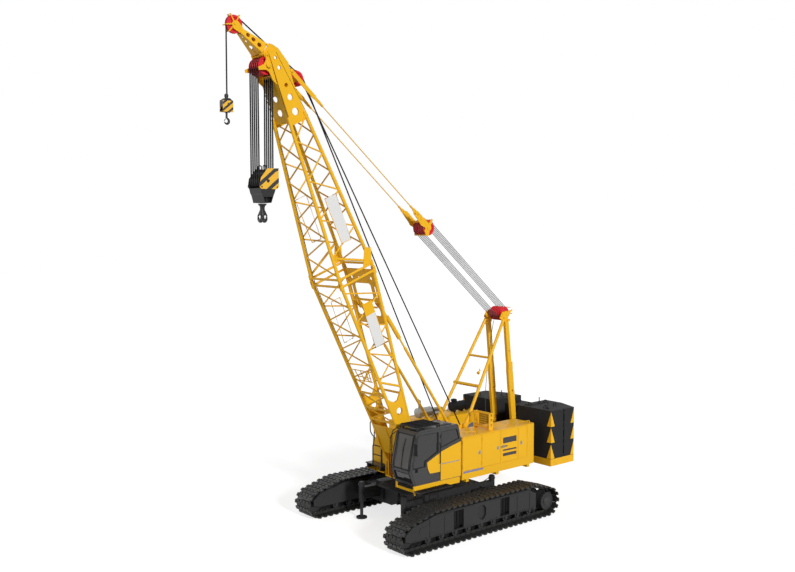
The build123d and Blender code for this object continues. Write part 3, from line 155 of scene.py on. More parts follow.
def surfaceGroup():
    # slow colour drift, fine grain and a little dust low down, from Object coordinates in metres
    settings = {"driftScale": 1.1, "roughDrift": 0.18, "grainDepth": 0.002,
                "dustHeight": 1.6, "dustRough": 0.5, "dustColour": (0.42, 0.36, 0.28, 1)}
    group = bpy.data.node_groups.new("surfaceDetail", "ShaderNodeTree")
    face = group.interface
    for name, kind, value in (("Color", "NodeSocketColor", (0.8, 0.8, 0.8, 1)),
                              ("Drift", "NodeSocketFloat", 0.08), ("Grain", "NodeSocketFloat", 60.0),
                              ("Roughness", "NodeSocketFloat", 0.4), ("Relief", "NodeSocketFloat", 0.1),
                              ("Dust", "NodeSocketFloat", 0.1)):
        face.new_socket(name, in_out="INPUT", socket_type=kind).default_value = value
    for name, kind in (("Color", "NodeSocketColor"), ("Roughness", "NodeSocketFloat"),
                       ("Normal", "NodeSocketVector")):
        face.new_socket(name, in_out="OUTPUT", socket_type=kind)
    given = addNode(group, "NodeGroupInput").outputs
    place = addNode(group, "ShaderNodeTexCoord").outputs["Object"]
    slow = addNode(group, "ShaderNodeTexNoise", {"Vector": place, "Scale": settings["driftScale"],
                                                 "Detail": 4})
    fine = addNode(group, "ShaderNodeTexNoise", {"Vector": place, "Scale": given["Grain"], "Detail": 5})
    drift = calc(group, "SUBTRACT", slow.outputs["Fac"], 0.5)
    value = calc(group, "ADD", calc(group, "MULTIPLY", drift, given["Drift"]), 1.0)
    tone = addNode(group, "ShaderNodeHueSaturation", {"Color": given["Color"], "Value": value})
    height = addNode(group, "ShaderNodeSeparateXYZ", {0: place}).outputs["Z"]
    low = addNode(group, "ShaderNodeMapRange",
                  {"Value": height, "From Min": settings["dustHeight"], "From Max": 0.0}).outputs[0]
    dusty = calc(group, "MULTIPLY", calc(group, "MULTIPLY", low, given["Dust"]), fine.outputs["Fac"])
    mix = addNode(group, "ShaderNodeMix",
                  {"Factor": dusty, "A": tone.outputs[0], "B": settings["dustColour"]}, data_type="RGBA")
    rough = calc(group, "ADD", given["Roughness"], calc(group, "MULTIPLY", drift, settings["roughDrift"]))
    bump = addNode(group, "ShaderNodeBump", {"Distance": settings["grainDepth"], "Strength": given["Relief"],
                                             "Height": fine.outputs["Fac"]})
    rough = calc(group, "ADD", rough, calc(group, "MULTIPLY", dusty, settings["dustRough"]))
    addNode(group, "NodeGroupOutput", {"Color": mix.outputs["Result"], "Roughness": rough,
                                       "Normal": bump.outputs[0]})
    return group


surfaceDetail = surfaceGroup()
finishes = {
    # name: colour, metallic, roughness, drift, grain, relief, dust, coat, specular level
    "yellowPaint": ((0.92, 0.50, 0.018), 0.0, 0.34, 0.08, 160, 0.05, 0.0, 0.04, 0.14),
    "cabPaint": ((0.052, 0.052, 0.053), 0.0, 0.28, 0.12, 160, 0.04, 0.0, 0.08, 0.25),
    "chassisPaint": ((0.036, 0.036, 0.037), 0.0, 0.42, 0.25, 90, 0.15, 0.0, 0.0, 0.12),
    "castSteel": ((0.034, 0.034, 0.033), 0.1, 0.42, 0.30, 70, 0.35, 0.0, 0.0, 0.25),
    "weightPaint": ((0.030, 0.030, 0.031), 0.0, 0.6, 0.20, 40, 0.5, 0.0, 0.0, 0.05),
    "redPaint": ((0.72, 0.016, 0.030), 0.0, 0.30, 0.12, 120, 0.06, 0.0, 0.1, 0.3),
    "hookSteel": ((0.022, 0.022, 0.024), 0.3, 0.40, 0.30, 50, 0.35, 0.02, 0.0, 0.35),
    "silverSteel": ((0.33, 0.33, 0.31), 0.85, 0.32, 0.30, 60, 0.4, 0.0, 0.0, 0.4),
    "greyPaint": ((0.16, 0.16, 0.17), 0.0, 0.45, 0.18, 90, 0.15, 0.03, 0.05, 0.3),
    # black finish of rubber and other black parts, also used for painted shade: the head's shadow lines, the
    # pockets' backs and the sheets in the track loops
    "blackRubberAndPaintedShade": ((0.010, 0.010, 0.011), 0.0, 0.6, 0.25, 120, 0.3, 0.0, 0.0, 0.12),
    "seatCloth": ((0.035, 0.035, 0.038), 0.0, 0.85, 0.25, 380, 0.8, 0.0, 0.0, 0.2),
    "whitePaint": ((0.80, 0.80, 0.79), 0.0, 0.38, 0.06, 160, 0.05, 0.0, 0.1, 0.3),
    "stripeBlue": ((0.20, 0.23, 0.38), 0.0, 0.35, 0.06, 160, 0.05, 0.0, 0.1, 0.3),
}
materials = {}


def newMaterial(name, inputs):
    made = bpy.data.materials.new(name)
    made.use_nodes = True
    materials[name] = made
    tree = made.node_tree
    shader = tree.nodes["Principled BSDF"]
    setInputs(tree, shader, inputs)
    return tree, shader


def material(name):
    if name not in materials:
        colour, metallic, rough, drift, grain, relief, dust, coat, gleam = finishes[name]
        tree, shader = newMaterial(name, {"Metallic": metallic, "Coat Weight": coat, "Coat Roughness": 0.12,
                                          "Specular IOR Level": gleam})
        wanted = {"Color": (*colour, 1), "Drift": drift, "Grain": grain, "Roughness": rough, "Relief": relief,
                  "Dust": dust}
        effect = addNode(tree, "ShaderNodeGroup", wanted, node_tree=surfaceDetail).outputs
        setInputs(tree, shader, {"Base Color": effect["Color"], "Roughness": effect["Roughness"],
                                 "Normal": effect["Normal"]})
    return materials[name]


def colourRamp(tree, factor, dark, light):
    ramp = addNode(tree, "ShaderNodeValToRGB", {"Fac": factor})
    for element, colour in zip(ramp.color_ramp.elements, (dark, light)):
        element.color = (*colour, 1)
    return ramp.outputs["Color"]


def glassMaterial(name, dark, light):
    tree, shader = newMaterial(name, {"Transmission Weight": 0.3, "IOR": 1.45, "Roughness": 0.03})
    place = addNode(tree, "ShaderNodeTexCoord").outputs["Object"]
    haze = addNode(tree, "ShaderNodeTexNoise", {"Vector": place, "Scale": 0.8}).outputs["Fac"]
    setInputs(tree, shader, {"Base Color": colourRamp(tree, haze, dark, light)})


def stripeMaterial(name, period, share, slope):
    # yellow paint with black bands, cut by a plane that turns with the piece
    settings = {"shift": 0.555, "yellow": (0.93, 0.50, 0.02, 1), "black": (0.012, 0.012, 0.013, 1),
                "wearScale": 35}
    tree, shader = newMaterial(name, {"Roughness": 0.34, "Coat Weight": 0.25})
    place = addNode(tree, "ShaderNodeTexCoord").outputs["Object"]
    across = (cos(slope) / period, 0, sin(slope) / period)
    along = addNode(tree, "ShaderNodeVectorMath", {0: place, 1: across},
                    operation="DOT_PRODUCT").outputs["Value"]
    turn = calc(tree, "FRACT", calc(tree, "ADD", along, settings["shift"]))
    band = calc(tree, "LESS_THAN", turn, share)
    wear = addNode(tree, "ShaderNodeTexNoise", {"Vector": place, "Scale": settings["wearScale"]})
    tone = addNode(tree, "ShaderNodeMapRange", {"Value": wear.outputs["Fac"], "To Min": 0.92, "To Max": 1.05})
    yellow = addNode(tree, "ShaderNodeHueSaturation", {"Color": settings["yellow"], "Value": tone.outputs[0]})
    mix = addNode(tree, "ShaderNodeMix", {"Factor": band, "A": yellow.outputs[0], "B": settings["black"]},
                  data_type="RGBA")
    setInputs(tree, shader, {"Base Color": mix.outputs["Result"]})


def ropeMaterial(name, colour):
    # wire rope: strands as slanting bands in the bump and the colour; the colour is darker in the grooves
    # between strands as painted shade
    settings = {"strandScale": 60, "strandDepth": 0.002, "groove": 0.55}
    tree, shader = newMaterial(name, {"Roughness": 0.6, "Specular IOR Level": 0.15})
    place = addNode(tree, "ShaderNodeTexCoord").outputs["Object"]
    wave = {"Vector": place, "Scale": settings["strandScale"], "Distortion": 0.6}
    strands = addNode(tree, "ShaderNodeTexWave", wave, bands_direction="DIAGONAL").outputs["Fac"]
    bump = addNode(tree, "ShaderNodeBump", {"Strength": 0.5, "Distance": settings["strandDepth"],
                                            "Height": strands})
    # painted shade: the grooves get a darker colour
    dark = [c * settings["groove"] for c in colour]
    setInputs(tree, shader, {"Base Color": colourRamp(tree, strands, dark, colour),
                             "Normal": bump.outputs[0]})


glassMaterial("tintedGlass", (0.040, 0.040, 0.042), (0.052, 0.052, 0.054))
glassMaterial("clearGlass", (0.075, 0.070, 0.062), (0.125, 0.118, 0.105))
stripeMaterial("hazardStripes", 0.271, 0.36, radians(51))
stripeMaterial("hazardSmall", 0.135, 0.42, radians(51))
ropeMaterial("wireRope", (0.10, 0.10, 0.105))
ropeMaterial("blackRope", (0.012, 0.012, 0.013))


def paintCad():
    # every shown CAD node gets its finish
    plan = {
        "yellowPaint": ["upper_frame", "housing_left", "housing_right", "gantry", "boom_butt", "boom_head",
                        "tip_extension", "bridle", "pendants", "counterweight_tray", "front_tank",
                        "backstop_tubes", "backstop_rods", "cab_side_panels", "roof_rack"],
        "cabPaint": ["cab_shell", "cab_door", "walkway"],
        "blackRubberAndPaintedShade": ["air_cleaner"],
        "chassisPaint": ["carbody", "track_frame_left", "track_frame_right", "final_drives", "idlers",
                         "sprockets", "lower_rollers", "carrier_rollers", "slew_ring", "jack_tubes",
                         "jack_rods"],
        "castSteel": ["track_left", "track_right"],
        "weightPaint": ["counterweight_left", "counterweight_right"],
        "redPaint": ["main_sheaves", "tip_sheave", "guide_sheaves", "gantry_sheaves", "bridle_sheaves"],
        "hookSteel": ["ramshorn_hook", "aux_hook", "hook_block", "aux_block"],
        "silverSteel": ["muffler"],
        "greyPaint": ["main_winch", "auxiliary_winch", "luffing_winch", "engine"],
        "seatCloth": ["cab_seat"],
        "tintedGlass": ["cab_glass"],
    }
    plan["yellowPaint"] += [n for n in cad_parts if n.startswith("door_")]
    for finish, names in plan.items():
        for name in names:
            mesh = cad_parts[name].data
            mesh.materials.clear()
            mesh.materials.append(material(finish))


# mesh helpers: everything is drawn in millimetres about the slewing axis until a piece is made
def addBox(bm, x, y, z):
    corners = [bm.verts.new((a, b, c)) for a in x for b in y for c in z]
    for face in ((0, 1, 3, 2), (4, 6, 7, 5), (0, 4, 5, 1), (2, 3, 7, 6), (0, 2, 6, 4), (1, 5, 7, 3)):
        bm.faces.new([corners[i] for i in face])


def addPlate(bm, points, along):
    # closed outline of 3-D points, thickened by a vector
    low = [bm.verts.new(p) for p in points]
    high = [bm.verts.new(Vector(p) + Vector(along)) for p in points]
    bm.faces.new(low)
    bm.faces.new(list(reversed(high)))
    for i in range(len(low)):
        j = (i + 1) % len(low)
        bm.faces.new((low[j], low[i], high[i], high[j]))


def addUpright(bm, outline, y, thick):
    # plate seen from the side: its outline as (x, z)
    addPlate(bm, [(x, y, z) for x, z in outline], (0, thick, 0))


def addFlat(bm, outline, z, thick):
    # plate seen from above: its outline as (x, y)
    addPlate(bm, [(x, y, z) for x, y in outline], (0, 0, thick))


def addTube(bm, path, radius, sides=8, closed=False):
    # round bar through the points, mitred at its corners
    points = [Vector(p) for p in path]
    count = len(points)
    rings = []
    side = None
    for i, p in enumerate(points):
        before = points[i - 1] if i or closed else None
        after = points[(i + 1) % count] if i < count - 1 or closed else None
        a = (p - before).normalized() if before is not None else (after - p).normalized()
        b = (after - p).normalized() if after is not None else a
        along = (a + b).normalized() if (a + b).length > 1e-6 else a
        if side is None:
            side = along.cross(Vector((0, 0, 1)) if abs(along.z) < 0.9 else Vector((0, 1, 0))).normalized()
        side = (side - along * side.dot(along)).normalized()
        up = along.cross(side)
        stretch = 1 / max(0.5, along.dot(a))
        bend = b - a
        ring = []
        for k in range(sides):
            t = 2 * pi * k / sides
            offset = side * cos(t) + up * sin(t)
            if bend.length > 1e-6:
                out = bend.normalized()
                offset += out * offset.dot(out) * (stretch - 1)
            ring.append(bm.verts.new(p + offset * radius))
        rings.append(ring)
    joinRings(bm, rings, closed)


def joinRings(bm, rings, closed=False):
    # skin between rings of the same count, with both ends capped unless it closes on itself
    pairs = list(zip(rings, rings[1:])) + ([(rings[-1], rings[0])] if closed else [])
    count = len(rings[0])
    for r0, r1 in pairs:
        for k in range(count):
            bm.faces.new((r0[k], r0[(k + 1) % count], r1[(k + 1) % count], r1[k]))
    if not closed:
        bm.faces.new(list(reversed(rings[0])))
        bm.faces.new(rings[-1])


def rounded(points, radius, steps=3):
    # a path with each inner corner turned into a short curve
    points = [Vector(p) for p in points]
    path = [points[0]]
    for a, b, c in zip(points, points[1:], points[2:]):
        reach = min(radius, (a - b).length * 0.45, (c - b).length * 0.45)
        start, end = b + (a - b).normalized() * reach, b + (c - b).normalized() * reach
        for i in range(steps + 1):
            t = i / steps
            path.append(start * (1 - t) ** 2 + b * 2 * t * (1 - t) + end * t ** 2)
    return path + [points[-1]]


def addBentTube(bm, path, bend, radius, sides=8, steps=3):
    addTube(bm, rounded(path, bend, steps), radius, sides)


def addHoop(bm, x0, x1, y, low, high, bend, radius, sides=8):
    # a bar bent up, across and down again
    addBentTube(bm, [(x0, y, low), (x0, y, high), (x1, y, high), (x1, y, low)], bend, radius, sides)


def addLathe(bm, centre, axis, profile, sides=32):
    # closed profile of (radius, distance along the axis) turned about the axis
    axis = Vector(axis).normalized()
    side = axis.cross(Vector((0, 0, 1)) if abs(axis.z) < 0.9 else Vector((1, 0, 0))).normalized()
    up = axis.cross(side)
    rings = []
    for k in range(sides):
        t = 2 * pi * k / sides
        out = side * cos(t) + up * sin(t)
        rings.append([bm.verts.new(Vector(centre) + out * r + axis * h) for r, h in profile])
    for k in range(sides):
        r0, r1 = rings[k], rings[(k + 1) % sides]
        for i in range(len(profile)):
            j = (i + 1) % len(profile)
            bm.faces.new((r0[i], r0[j], r1[j], r1[i]))


def addCap(bm, centre, axis, rim, sides):
    # solid turned piece: its rim as (radius, distance along the axis), closed at both ends
    core = 0.5
    addLathe(bm, centre, axis, [(core, rim[0][1])] + rim + [(core, rim[-1][1])], sides)


def finishPiece(obj, body, finish, bevel=0.0):
    mesh = obj.data
    mesh.materials.clear()
    mesh.materials.append(material(finish))
    mesh.shade_smooth()
    mesh.set_sharp_from_angle(angle=radians(38))
    if bevel:
        edge = obj.modifiers.new("edge", "BEVEL")
        edge.width = bevel / 1000
        edge.segments = 2
        edge.limit_method = "ANGLE"
        edge.angle_limit = radians(40)
        edge.harden_normals = True
    if body:
        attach(obj, body)
    return obj


def mirrorCopy(bm):
    # the same faces again on the other side of the crane
    twin = bmesh.ops.duplicate(bm, geom=bm.verts[:] + bm.edges[:] + bm.faces[:])["geom"]
    bmesh.ops.scale(bm, vec=(1, -1, 1), verts=[v for v in twin if isinstance(v, bmesh.types.BMVert)])


def piece(name, bm, body, finish, bevel=0.0, side=1):
    # the gathered faces become one object at the origin of the row frame; side -1 puts it on the right
    bmesh.ops.scale(bm, vec=(1, side, 1), verts=bm.verts)
    bmesh.ops.recalc_face_normals(bm, faces=bm.faces)
    bmesh.ops.scale(bm, vec=(0.001, 0.001, 0.001), verts=bm.verts)
    bmesh.ops.translate(bm, vec=(-midX, 0, 0), verts=bm.verts)
    mesh = bpy.data.meshes.new(name)
    bm.to_mesh(mesh)
    bm.free()
    obj = bpy.data.objects.new(name, mesh)
    bpy.context.scene.collection.objects.link(obj)
    return finishPiece(obj, body, finish, bevel)


def spreadGroup():
    # an item spread evenly along a path, each turned by a little play
    group = bpy.data.node_groups.new("spreadAlongPath", "GeometryNodeTree")
    face = group.interface
    face.new_socket("Path", in_out="INPUT", socket_type="NodeSocketGeometry")
    for name, kind in (("Item", "NodeSocketObject"), ("Count", "NodeSocketInt"),
                       ("Finish", "NodeSocketMaterial")):
        face.new_socket(name, in_out="INPUT", socket_type=kind)
    face.new_socket("Seed", in_out="INPUT", socket_type="NodeSocketInt").default_value = 7
    face.new_socket("Play", in_out="INPUT", socket_type="NodeSocketFloat").default_value = 0.0
    face.new_socket("Geometry", in_out="OUTPUT", socket_type="NodeSocketGeometry")
    given = addNode(group, "NodeGroupInput").outputs
    curve = addNode(group, "GeometryNodeMeshToCurve", {"Mesh": given["Path"]})
    even = addNode(group, "GeometryNodeResampleCurve", {"Curve": curve.outputs[0], "Count": given["Count"]},
                   mode="COUNT")
    tangent = addNode(group, "GeometryNodeInputTangent")
    turn = addNode(group, "FunctionNodeAlignRotationToVector", {"Vector": tangent.outputs[0]}, axis="X",
                   pivot_axis="Y")
    loose = addNode(group, "FunctionNodeRandomValue", {2: calc(group, "MULTIPLY", given["Play"], -1.0),
                                                       3: given["Play"], "Seed": given["Seed"]},
                    data_type="FLOAT")
    spin = addNode(group, "FunctionNodeAxisAngleToRotation", {"Axis": (0, 1, 0), "Angle": loose.outputs[1]})
    wobble = addNode(group, "FunctionNodeRotateRotation", {"Rotation": turn.outputs[0],
                                                           "Rotate By": spin.outputs[0]})
    info = addNode(group, "GeometryNodeObjectInfo", {"Object": given["Item"]})
    place = addNode(group, "GeometryNodeInstanceOnPoints", {"Points": even.outputs[0],
                                                            "Instance": info.outputs["Geometry"],
                                                            "Rotation": wobble.outputs[0]})
    solid = addNode(group, "GeometryNodeRealizeInstances", {0: place.outputs[0]})
    finish = addNode(group, "GeometryNodeSetMaterial", {"Geometry": solid.outputs[0],
                                                        "Material": given["Finish"]})
    addNode(group, "NodeGroupOutput", {"Geometry": finish.outputs[0]})
    return group


spreader = spreadGroup()


def spread(name, path, item, count, body, finish, play=0.0):
    # item: bmesh in millimetres, X along the closed path and Z away from it
    bmesh.ops.recalc_face_normals(item, faces=item.faces)
    bmesh.ops.scale(item, vec=(0.001, 0.001, 0.001), verts=item.verts)
    unit = bpy.data.meshes.new(name + "Unit")
    item.to_mesh(unit)
    item.free()
    unitObj = bpy.data.objects.new(name + "Unit", unit)
    line = bpy.data.meshes.new(name + "Path")
    line.from_pydata([row(*p) for p in path], [(i, (i + 1) % len(path)) for i in range(len(path))], [])
    obj = bpy.data.objects.new(name, line)
    scene = bpy.context.scene
    scene.collection.objects.link(unitObj)
    scene.collection.objects.link(obj)
    mod = obj.modifiers.new("spread", "NODES")
    mod.node_group = spreader
    values = {"Item": unitObj, "Count": count, "Finish": material(finish), "Play": play, "Seed": 7}
    for socket in spreader.interface.items_tree:
        if socket.item_type == "SOCKET" and socket.in_out == "INPUT" and socket.name in values:
            mod[socket.identifier] = values[socket.name]
    scene.view_layers.update()
    done = bpy.data.meshes.new_from_object(obj.evaluated_get(bpy.context.evaluated_depsgraph_get()))
    obj.modifiers.remove(mod)
    obj.data = done
    done.name = name
    bpy.data.meshes.remove(line)
    bpy.data.objects.remove(unitObj)
    return finishPiece(obj, body, finish)


def boltRing(name, centre, axis, radius, count, body, finish, head=14, tall=12):
    # hexagon heads on a circle; axis "z" lies flat, "y" stands on a side face
    bolt = bmesh.new()
    addCap(bolt, (0, 0, 0), (0, 0, 1) if axis == "z" else (0, 1, 0),
           [(head, 0), (head, tall * 0.8), (head * 0.8, tall)], 6)
    path = []
    steps = 48
    x, y, z = centre
    for i in range(steps):
        t = 2 * pi * i / steps
        a, b = radius * cos(t), radius * sin(t)
        path.append((x + a, y + b, z) if axis == "z" else (x + a, y, z + b))
    return spread(name, path, bolt, count, body, finish)


trackCentre = 2170
sprocket, idler = (-2795, 455), (2815, 435)     # end wheels of a track, as (x, z)


def trackLoop(depth):
    # the shoes' outer face, clockwise seen from the right: arcs about the four wheels and their tangents
    wheels = [(*idler, 435 - depth), (2000, 905, 200 - depth), (-2150, 905, 200 - depth),
              (*sprocket, 455 - depth)]
    turns = []
    for (x0, z0, r0), (x1, z1, r1) in zip(wheels, wheels[1:] + wheels[:1]):
        run = hypot(x1 - x0, z1 - z0)
        turns.append(atan2(z1 - z0, x1 - x0) - pi / 2 + atan2(r0 - r1, (run ** 2 - (r0 - r1) ** 2) ** 0.5))
    points = []
    for i, (x, z, r) in enumerate(wheels):
        start, end = turns[i - 1], turns[i]
        while end < start:
            end += 2 * pi
        steps = max(2, int(r * (end - start) / 25))
        for k in range(steps + 1):
            t = start + (end - start) * k / steps
            points.append((x + r * cos(t), z + r * sin(t)))
    return list(reversed(points))


def trackShoe(length, settings):
    # drawn with X along the track and Z outward, length from the middle to its end
    p, half, tall = length, settings["width"] / 2, settings["grouser"]
    shoe = bmesh.new()
    # plate, wide in the middle and cut back at both ends so that the edge of the track is toothed
    near = [(-p, 95 - half), (-p * 0.55, 70 - half), (-p * 0.55, -half), (p * 0.62, -half),
            (p * 0.62, 70 - half), (p, 95 - half)]
    plan = near + [(x, -y) for x, y in reversed(near)]
    addFlat(shoe, plan, -settings["plate"], settings["plate"])
    # raised bar across the shoe, broken by three pockets, and lugs on its ends
    bar = [(-p + 8, -2), (-p * 0.18, -2), (-p * 0.25, tall - 10), (-p + 16, tall - 10)]
    for y0, y1 in ((90 - half, 215 - half), (262 - half, -22), (22, half - 262), (half - 215, half - 90)):
        addUpright(shoe, bar, y0, y1 - y0)
    lug = [(-p * 0.5, -2), (p * 0.58, -2), (p * 0.46, tall - 12), (-p * 0.40, tall - 12)]
    for y0 in (-half, half - 84):
        addUpright(shoe, lug, y0, 84)
    addUpright(shoe, [(p * 0.62, -2), (p - 4, -2), (p - 8, 14), (p * 0.66, 14)], 110 - half, 2 * half - 220)
    for x in (p * 0.12, p * 0.42):
        for y in (-118, 118):
            addCap(shoe, (x, y, 0), (0, 0, 1), [(15, -4), (15, 10), (11, 14)], 6)
    # links of the chain and their pin
    link = [(-p - 10, -40), (-p + 20, -26), (p - 16, -26), (p + 14, -48), (p + 14, -84), (p - 24, -104),
            (-p + 24, -104), (-p - 10, -84)]
    for y in (-118, 84):
        addUpright(shoe, link, y, 34)
    addTube(shoe, [(p, -135, -66), (p, 135, -66)], 19)
    return shoe


def makeTracks():
    settings = {"shoes": 64, "width": 800, "grouser": 32, "plate": 24, "gap": 5, "play": 0.003, "guide": 16}
    loop = trackLoop(settings["grouser"])
    total = sum(hypot(b[0] - a[0], b[1] - a[1]) for a, b in zip(loop, loop[1:] + loop[:1]))
    pitch = total / settings["shoes"]
    # outline of the painted-shade sheet inside each track loop
    shadeSheetPlan = [(-2420, 150), (2680, 140), (2620, 400), (2420, 700), (1990, 975), (-2060, 985), (-2420, 905),
                 (-2610, 810), (-2560, 640), (-2500, 420)]
    for name, side in (("left", 1), ("right", -1)):
        path = [(x, side * trackCentre, z) for x, z in loop]
        track = spread("trackShoes." + name, path, trackShoe(pitch / 2 - settings["gap"], settings),
                       settings["shoes"], "undercarriage", "castSteel", settings["play"])
        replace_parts(track, "track_" + name)
        # dark sheets between the roller rows close the view through the frame: painted shade inside the track
        # loop
        guide = bmesh.new()
        addUpright(guide, shadeSheetPlan, trackCentre - settings["guide"] / 2, settings["guide"])
        piece("guidePlates." + name, guide, "undercarriage", "blackRubberAndPaintedShade", side=side)
    print("tracks: pitch", round(pitch, 1))


def makeTrackFrame(name, side):
    # one side frame, drawn on the left
    settings = {"face": 2400, "bolt": [(13, -1), (13, 9), (10, 12)], "rollers": 9, "teeth": 20,
                "toothRoot": 282}
    y = settings["face"]
    trim = bmesh.new()
    # rim of the middle opening
    rim = arcPoints((0, 580), 158, pi, 2 * pi, y - 2, 12) + arcPoints((0, 700), 158, 0, pi, y - 2, 12)
    addTube(trim, rim, 11, closed=True)
    # ribs, upper and lower flange of the frame, access cover of the track adjuster
    for x0, x1 in ((-2290, -300), (300, 2680)):
        addBox(trim, (x0, x1), (y - 4, y + 14), (322, 348))
    for x in (-2060, -1500, 1500, 2060):
        addPlate(trim, [(x, y, 350), (x, y + 12, 350), (x, y + 12, 820), (x, y, 860)], (14, 0, 0))
    for s in (1, -1):
        addBox(trim, (-1960 * s, -330 * s), (y - 2, y + 10), (900, 914))
    cover = [(2110, 480), (2420, 480), (2460, 560), (2420, 660), (2110, 690), (2080, 660), (2080, 510)]
    addUpright(trim, cover, y, 10)
    piece("frameTrim." + name, trim, "undercarriage", "chassisPaint", 2, side)
    bolts = bmesh.new()
    places = [(x, z) for x in (2110, 2400) for z in (520, 650)]
    places += [(x, 372) for x in range(-2200, 2601, 400) if abs(x) > 280]
    places += [(x, 860) for x in (-1800, -1300, -800, 800, 1300, 1750)]
    for x, z in places:
        addCap(bolts, (x, y, z), (0, 1, 0), settings["bolt"], 6)
    piece("frameBolts." + name, bolts, "undercarriage", "chassisPaint", side=side)
    # end caps of the rollers under the box
    caps = bmesh.new()
    for i in range(settings["rollers"]):
        for inner in (1990, 2350):
            addCap(caps, (-2080 + 4160 * i / (settings["rollers"] - 1), inner - 25, 258), (0, 1, 0),
                   [(46, 0), (52, 8), (52, 42), (46, 50)], 16)
    piece("rollerCaps." + name, caps, "undercarriage", "chassisPaint", side=side)
    # sprocket teeth, bolts and cover of the final drive, cover of the idler
    teeth = bmesh.new()
    (cx, cz), root = sprocket, settings["toothRoot"]
    for k in range(settings["teeth"]):
        t = 2 * pi * k / settings["teeth"]
        tooth = [(root - 30, -0.095), (root + 2, -0.085), (root + 42, -0.035), (root + 42, 0.035),
                 (root + 2, 0.085), (root - 30, 0.095)]
        outline = [(cx + r * cos(t + a), cz + r * sin(t + a)) for r, a in tooth]
        addUpright(teeth, outline, trackCentre - 24, 48)
    piece("sprocketTeeth." + name, teeth, "undercarriage", "chassisPaint", side=side)
    boltRing("driveBolts." + name, (cx, 2440 if side > 0 else -2452, cz), "y", 225, 16, "undercarriage",
             "chassisPaint", 13, 12)
    hub = bmesh.new()
    addCap(hub, (cx, 2440, cz), (0, 1, 0), [(150, -2), (150, 14), (138, 24), (70, 26), (60, 34)], 32)
    addCap(hub, (idler[0], 2300, idler[1]), (0, 1, 0), [(120, -60), (120, 0), (95, 22), (40, 26)], 28)
    piece("hubCovers." + name, hub, "undercarriage", "castSteel", side=side)


def makeUndercarriage():
    settings = {"ringBolts": 40, "jackX": 1825, "jackY": 1000, "pocketX": 952}
    for name, side in (("left", 1), ("right", -1)):
        makeTrackFrame(name, side)
    boltRing("slewBolts", (0, 0, 1090), "z", 850, settings["ringBolts"], "undercarriage", "chassisPaint",
             15, 16)
    # jacks: collars, caps and pins
    jacks = bmesh.new()
    y = settings["jackY"]
    for x in (settings["jackX"], -settings["jackX"]):
        addLathe(jacks, (x, y, 1040), (0, 0, 1), [(92, 0), (108, 0), (108, 40), (92, 40)], 24)
        addCap(jacks, (x, y, 1130), (0, 0, 1), [(80, 0), (80, 14), (60, 26)], 20)
        for z in (720, 900):
            for t in (1, -1):
                addCap(jacks, (x, y + t * 90, z), (0, t, 0), [(17, -4), (17, 20), (12, 25)], 10)
    mirrorCopy(jacks)
    piece("jackCollars", jacks, "undercarriage", "chassisPaint")
    # feed hoses of the jacks, and hoses from the swivel to the carbody
    hoses = bmesh.new()
    for s in (1, -1):
        for path in (((1805, 908, 620), (1795, 850, 640), (1705, 830, 800), (1150, 810, 760)),
                     ((1835, 908, 1000), (1805, 850, 1010), (1665, 810, 930), (1150, 760, 860))):
            addBentTube(hoses, [(s * x, y, z) for x, y, z in path], 60, 12)
    for y in (360, 420):
        addBentTube(hoses, [(-700, y, 1075), (-820, y, 1092), (-1130, y * 1.4, 1078), (-1150, y * 2.2, 900),
                            (-1140, y * 3.4, 930)], 50, 13)
    mirrorCopy(hoses)
    piece("chassisHoses", hoses, "undercarriage", "blackRubberAndPaintedShade")
    # carbody webs, and the pockets where it meets the side frames; the pockets' backs and ribs are painted
    # shade in the darkest black
    plates, recess = bmesh.new(), bmesh.new()
    for x in (settings["pocketX"], -settings["pocketX"]):
        addBox(plates, (x - 215, x + 215), (1880, 1932), (520, 935))
        addBox(recess, (x - 213, x + 213), (2300, 2312), (420, 905))
        for rib in (x - 120, x, x + 120):
            addBox(recess, (rib - 6, rib + 6), (2312, 2336), (430, 895))
    mirrorCopy(plates)
    mirrorCopy(recess)
    for s in (1, -1):
        for y in (-700, 0, 700):
            addUpright(plates, [(1152 * s, 540), (1262 * s, 540), (1192 * s, 1040), (1152 * s, 1060)],
                       y - 7, 14)
    piece("chassisPlates", plates, "undercarriage", "chassisPaint", 3)
    # painted shade: the pockets' backs and ribs in black
    piece("recessPlates", recess, "undercarriage", "blackRubberAndPaintedShade")
    print("undercarriage: trims, bolts and hoses")


def tangentPoints(c0, r0, c1, r1, side):
    # ends of the outer tangent of two circles in the x-z plane; side +1 keeps left of c0 to c1
    dx, dz = c1[0] - c0[0], c1[1] - c0[1]
    a = atan2(dz, dx) + side * acos((r0 - r1) / hypot(dx, dz))
    return (c0[0] + r0 * cos(a), c0[1] + r0 * sin(a)), (c1[0] + r1 * cos(a), c1[1] + r1 * sin(a)), a


def straightRopes(name, ends, radius, finish):
    # parallel runs with rings only at their ends, so that each run is a straight tube
    bm = bmesh.new()
    for a, b in ends:
        addTube(bm, [a, b], radius)
    obj = piece(name, bm, None, finish)
    a, b = (row(*[sum(run[end][i] for run in ends) / len(ends) for i in range(3)]) for end in (0, 1))
    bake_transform(obj)


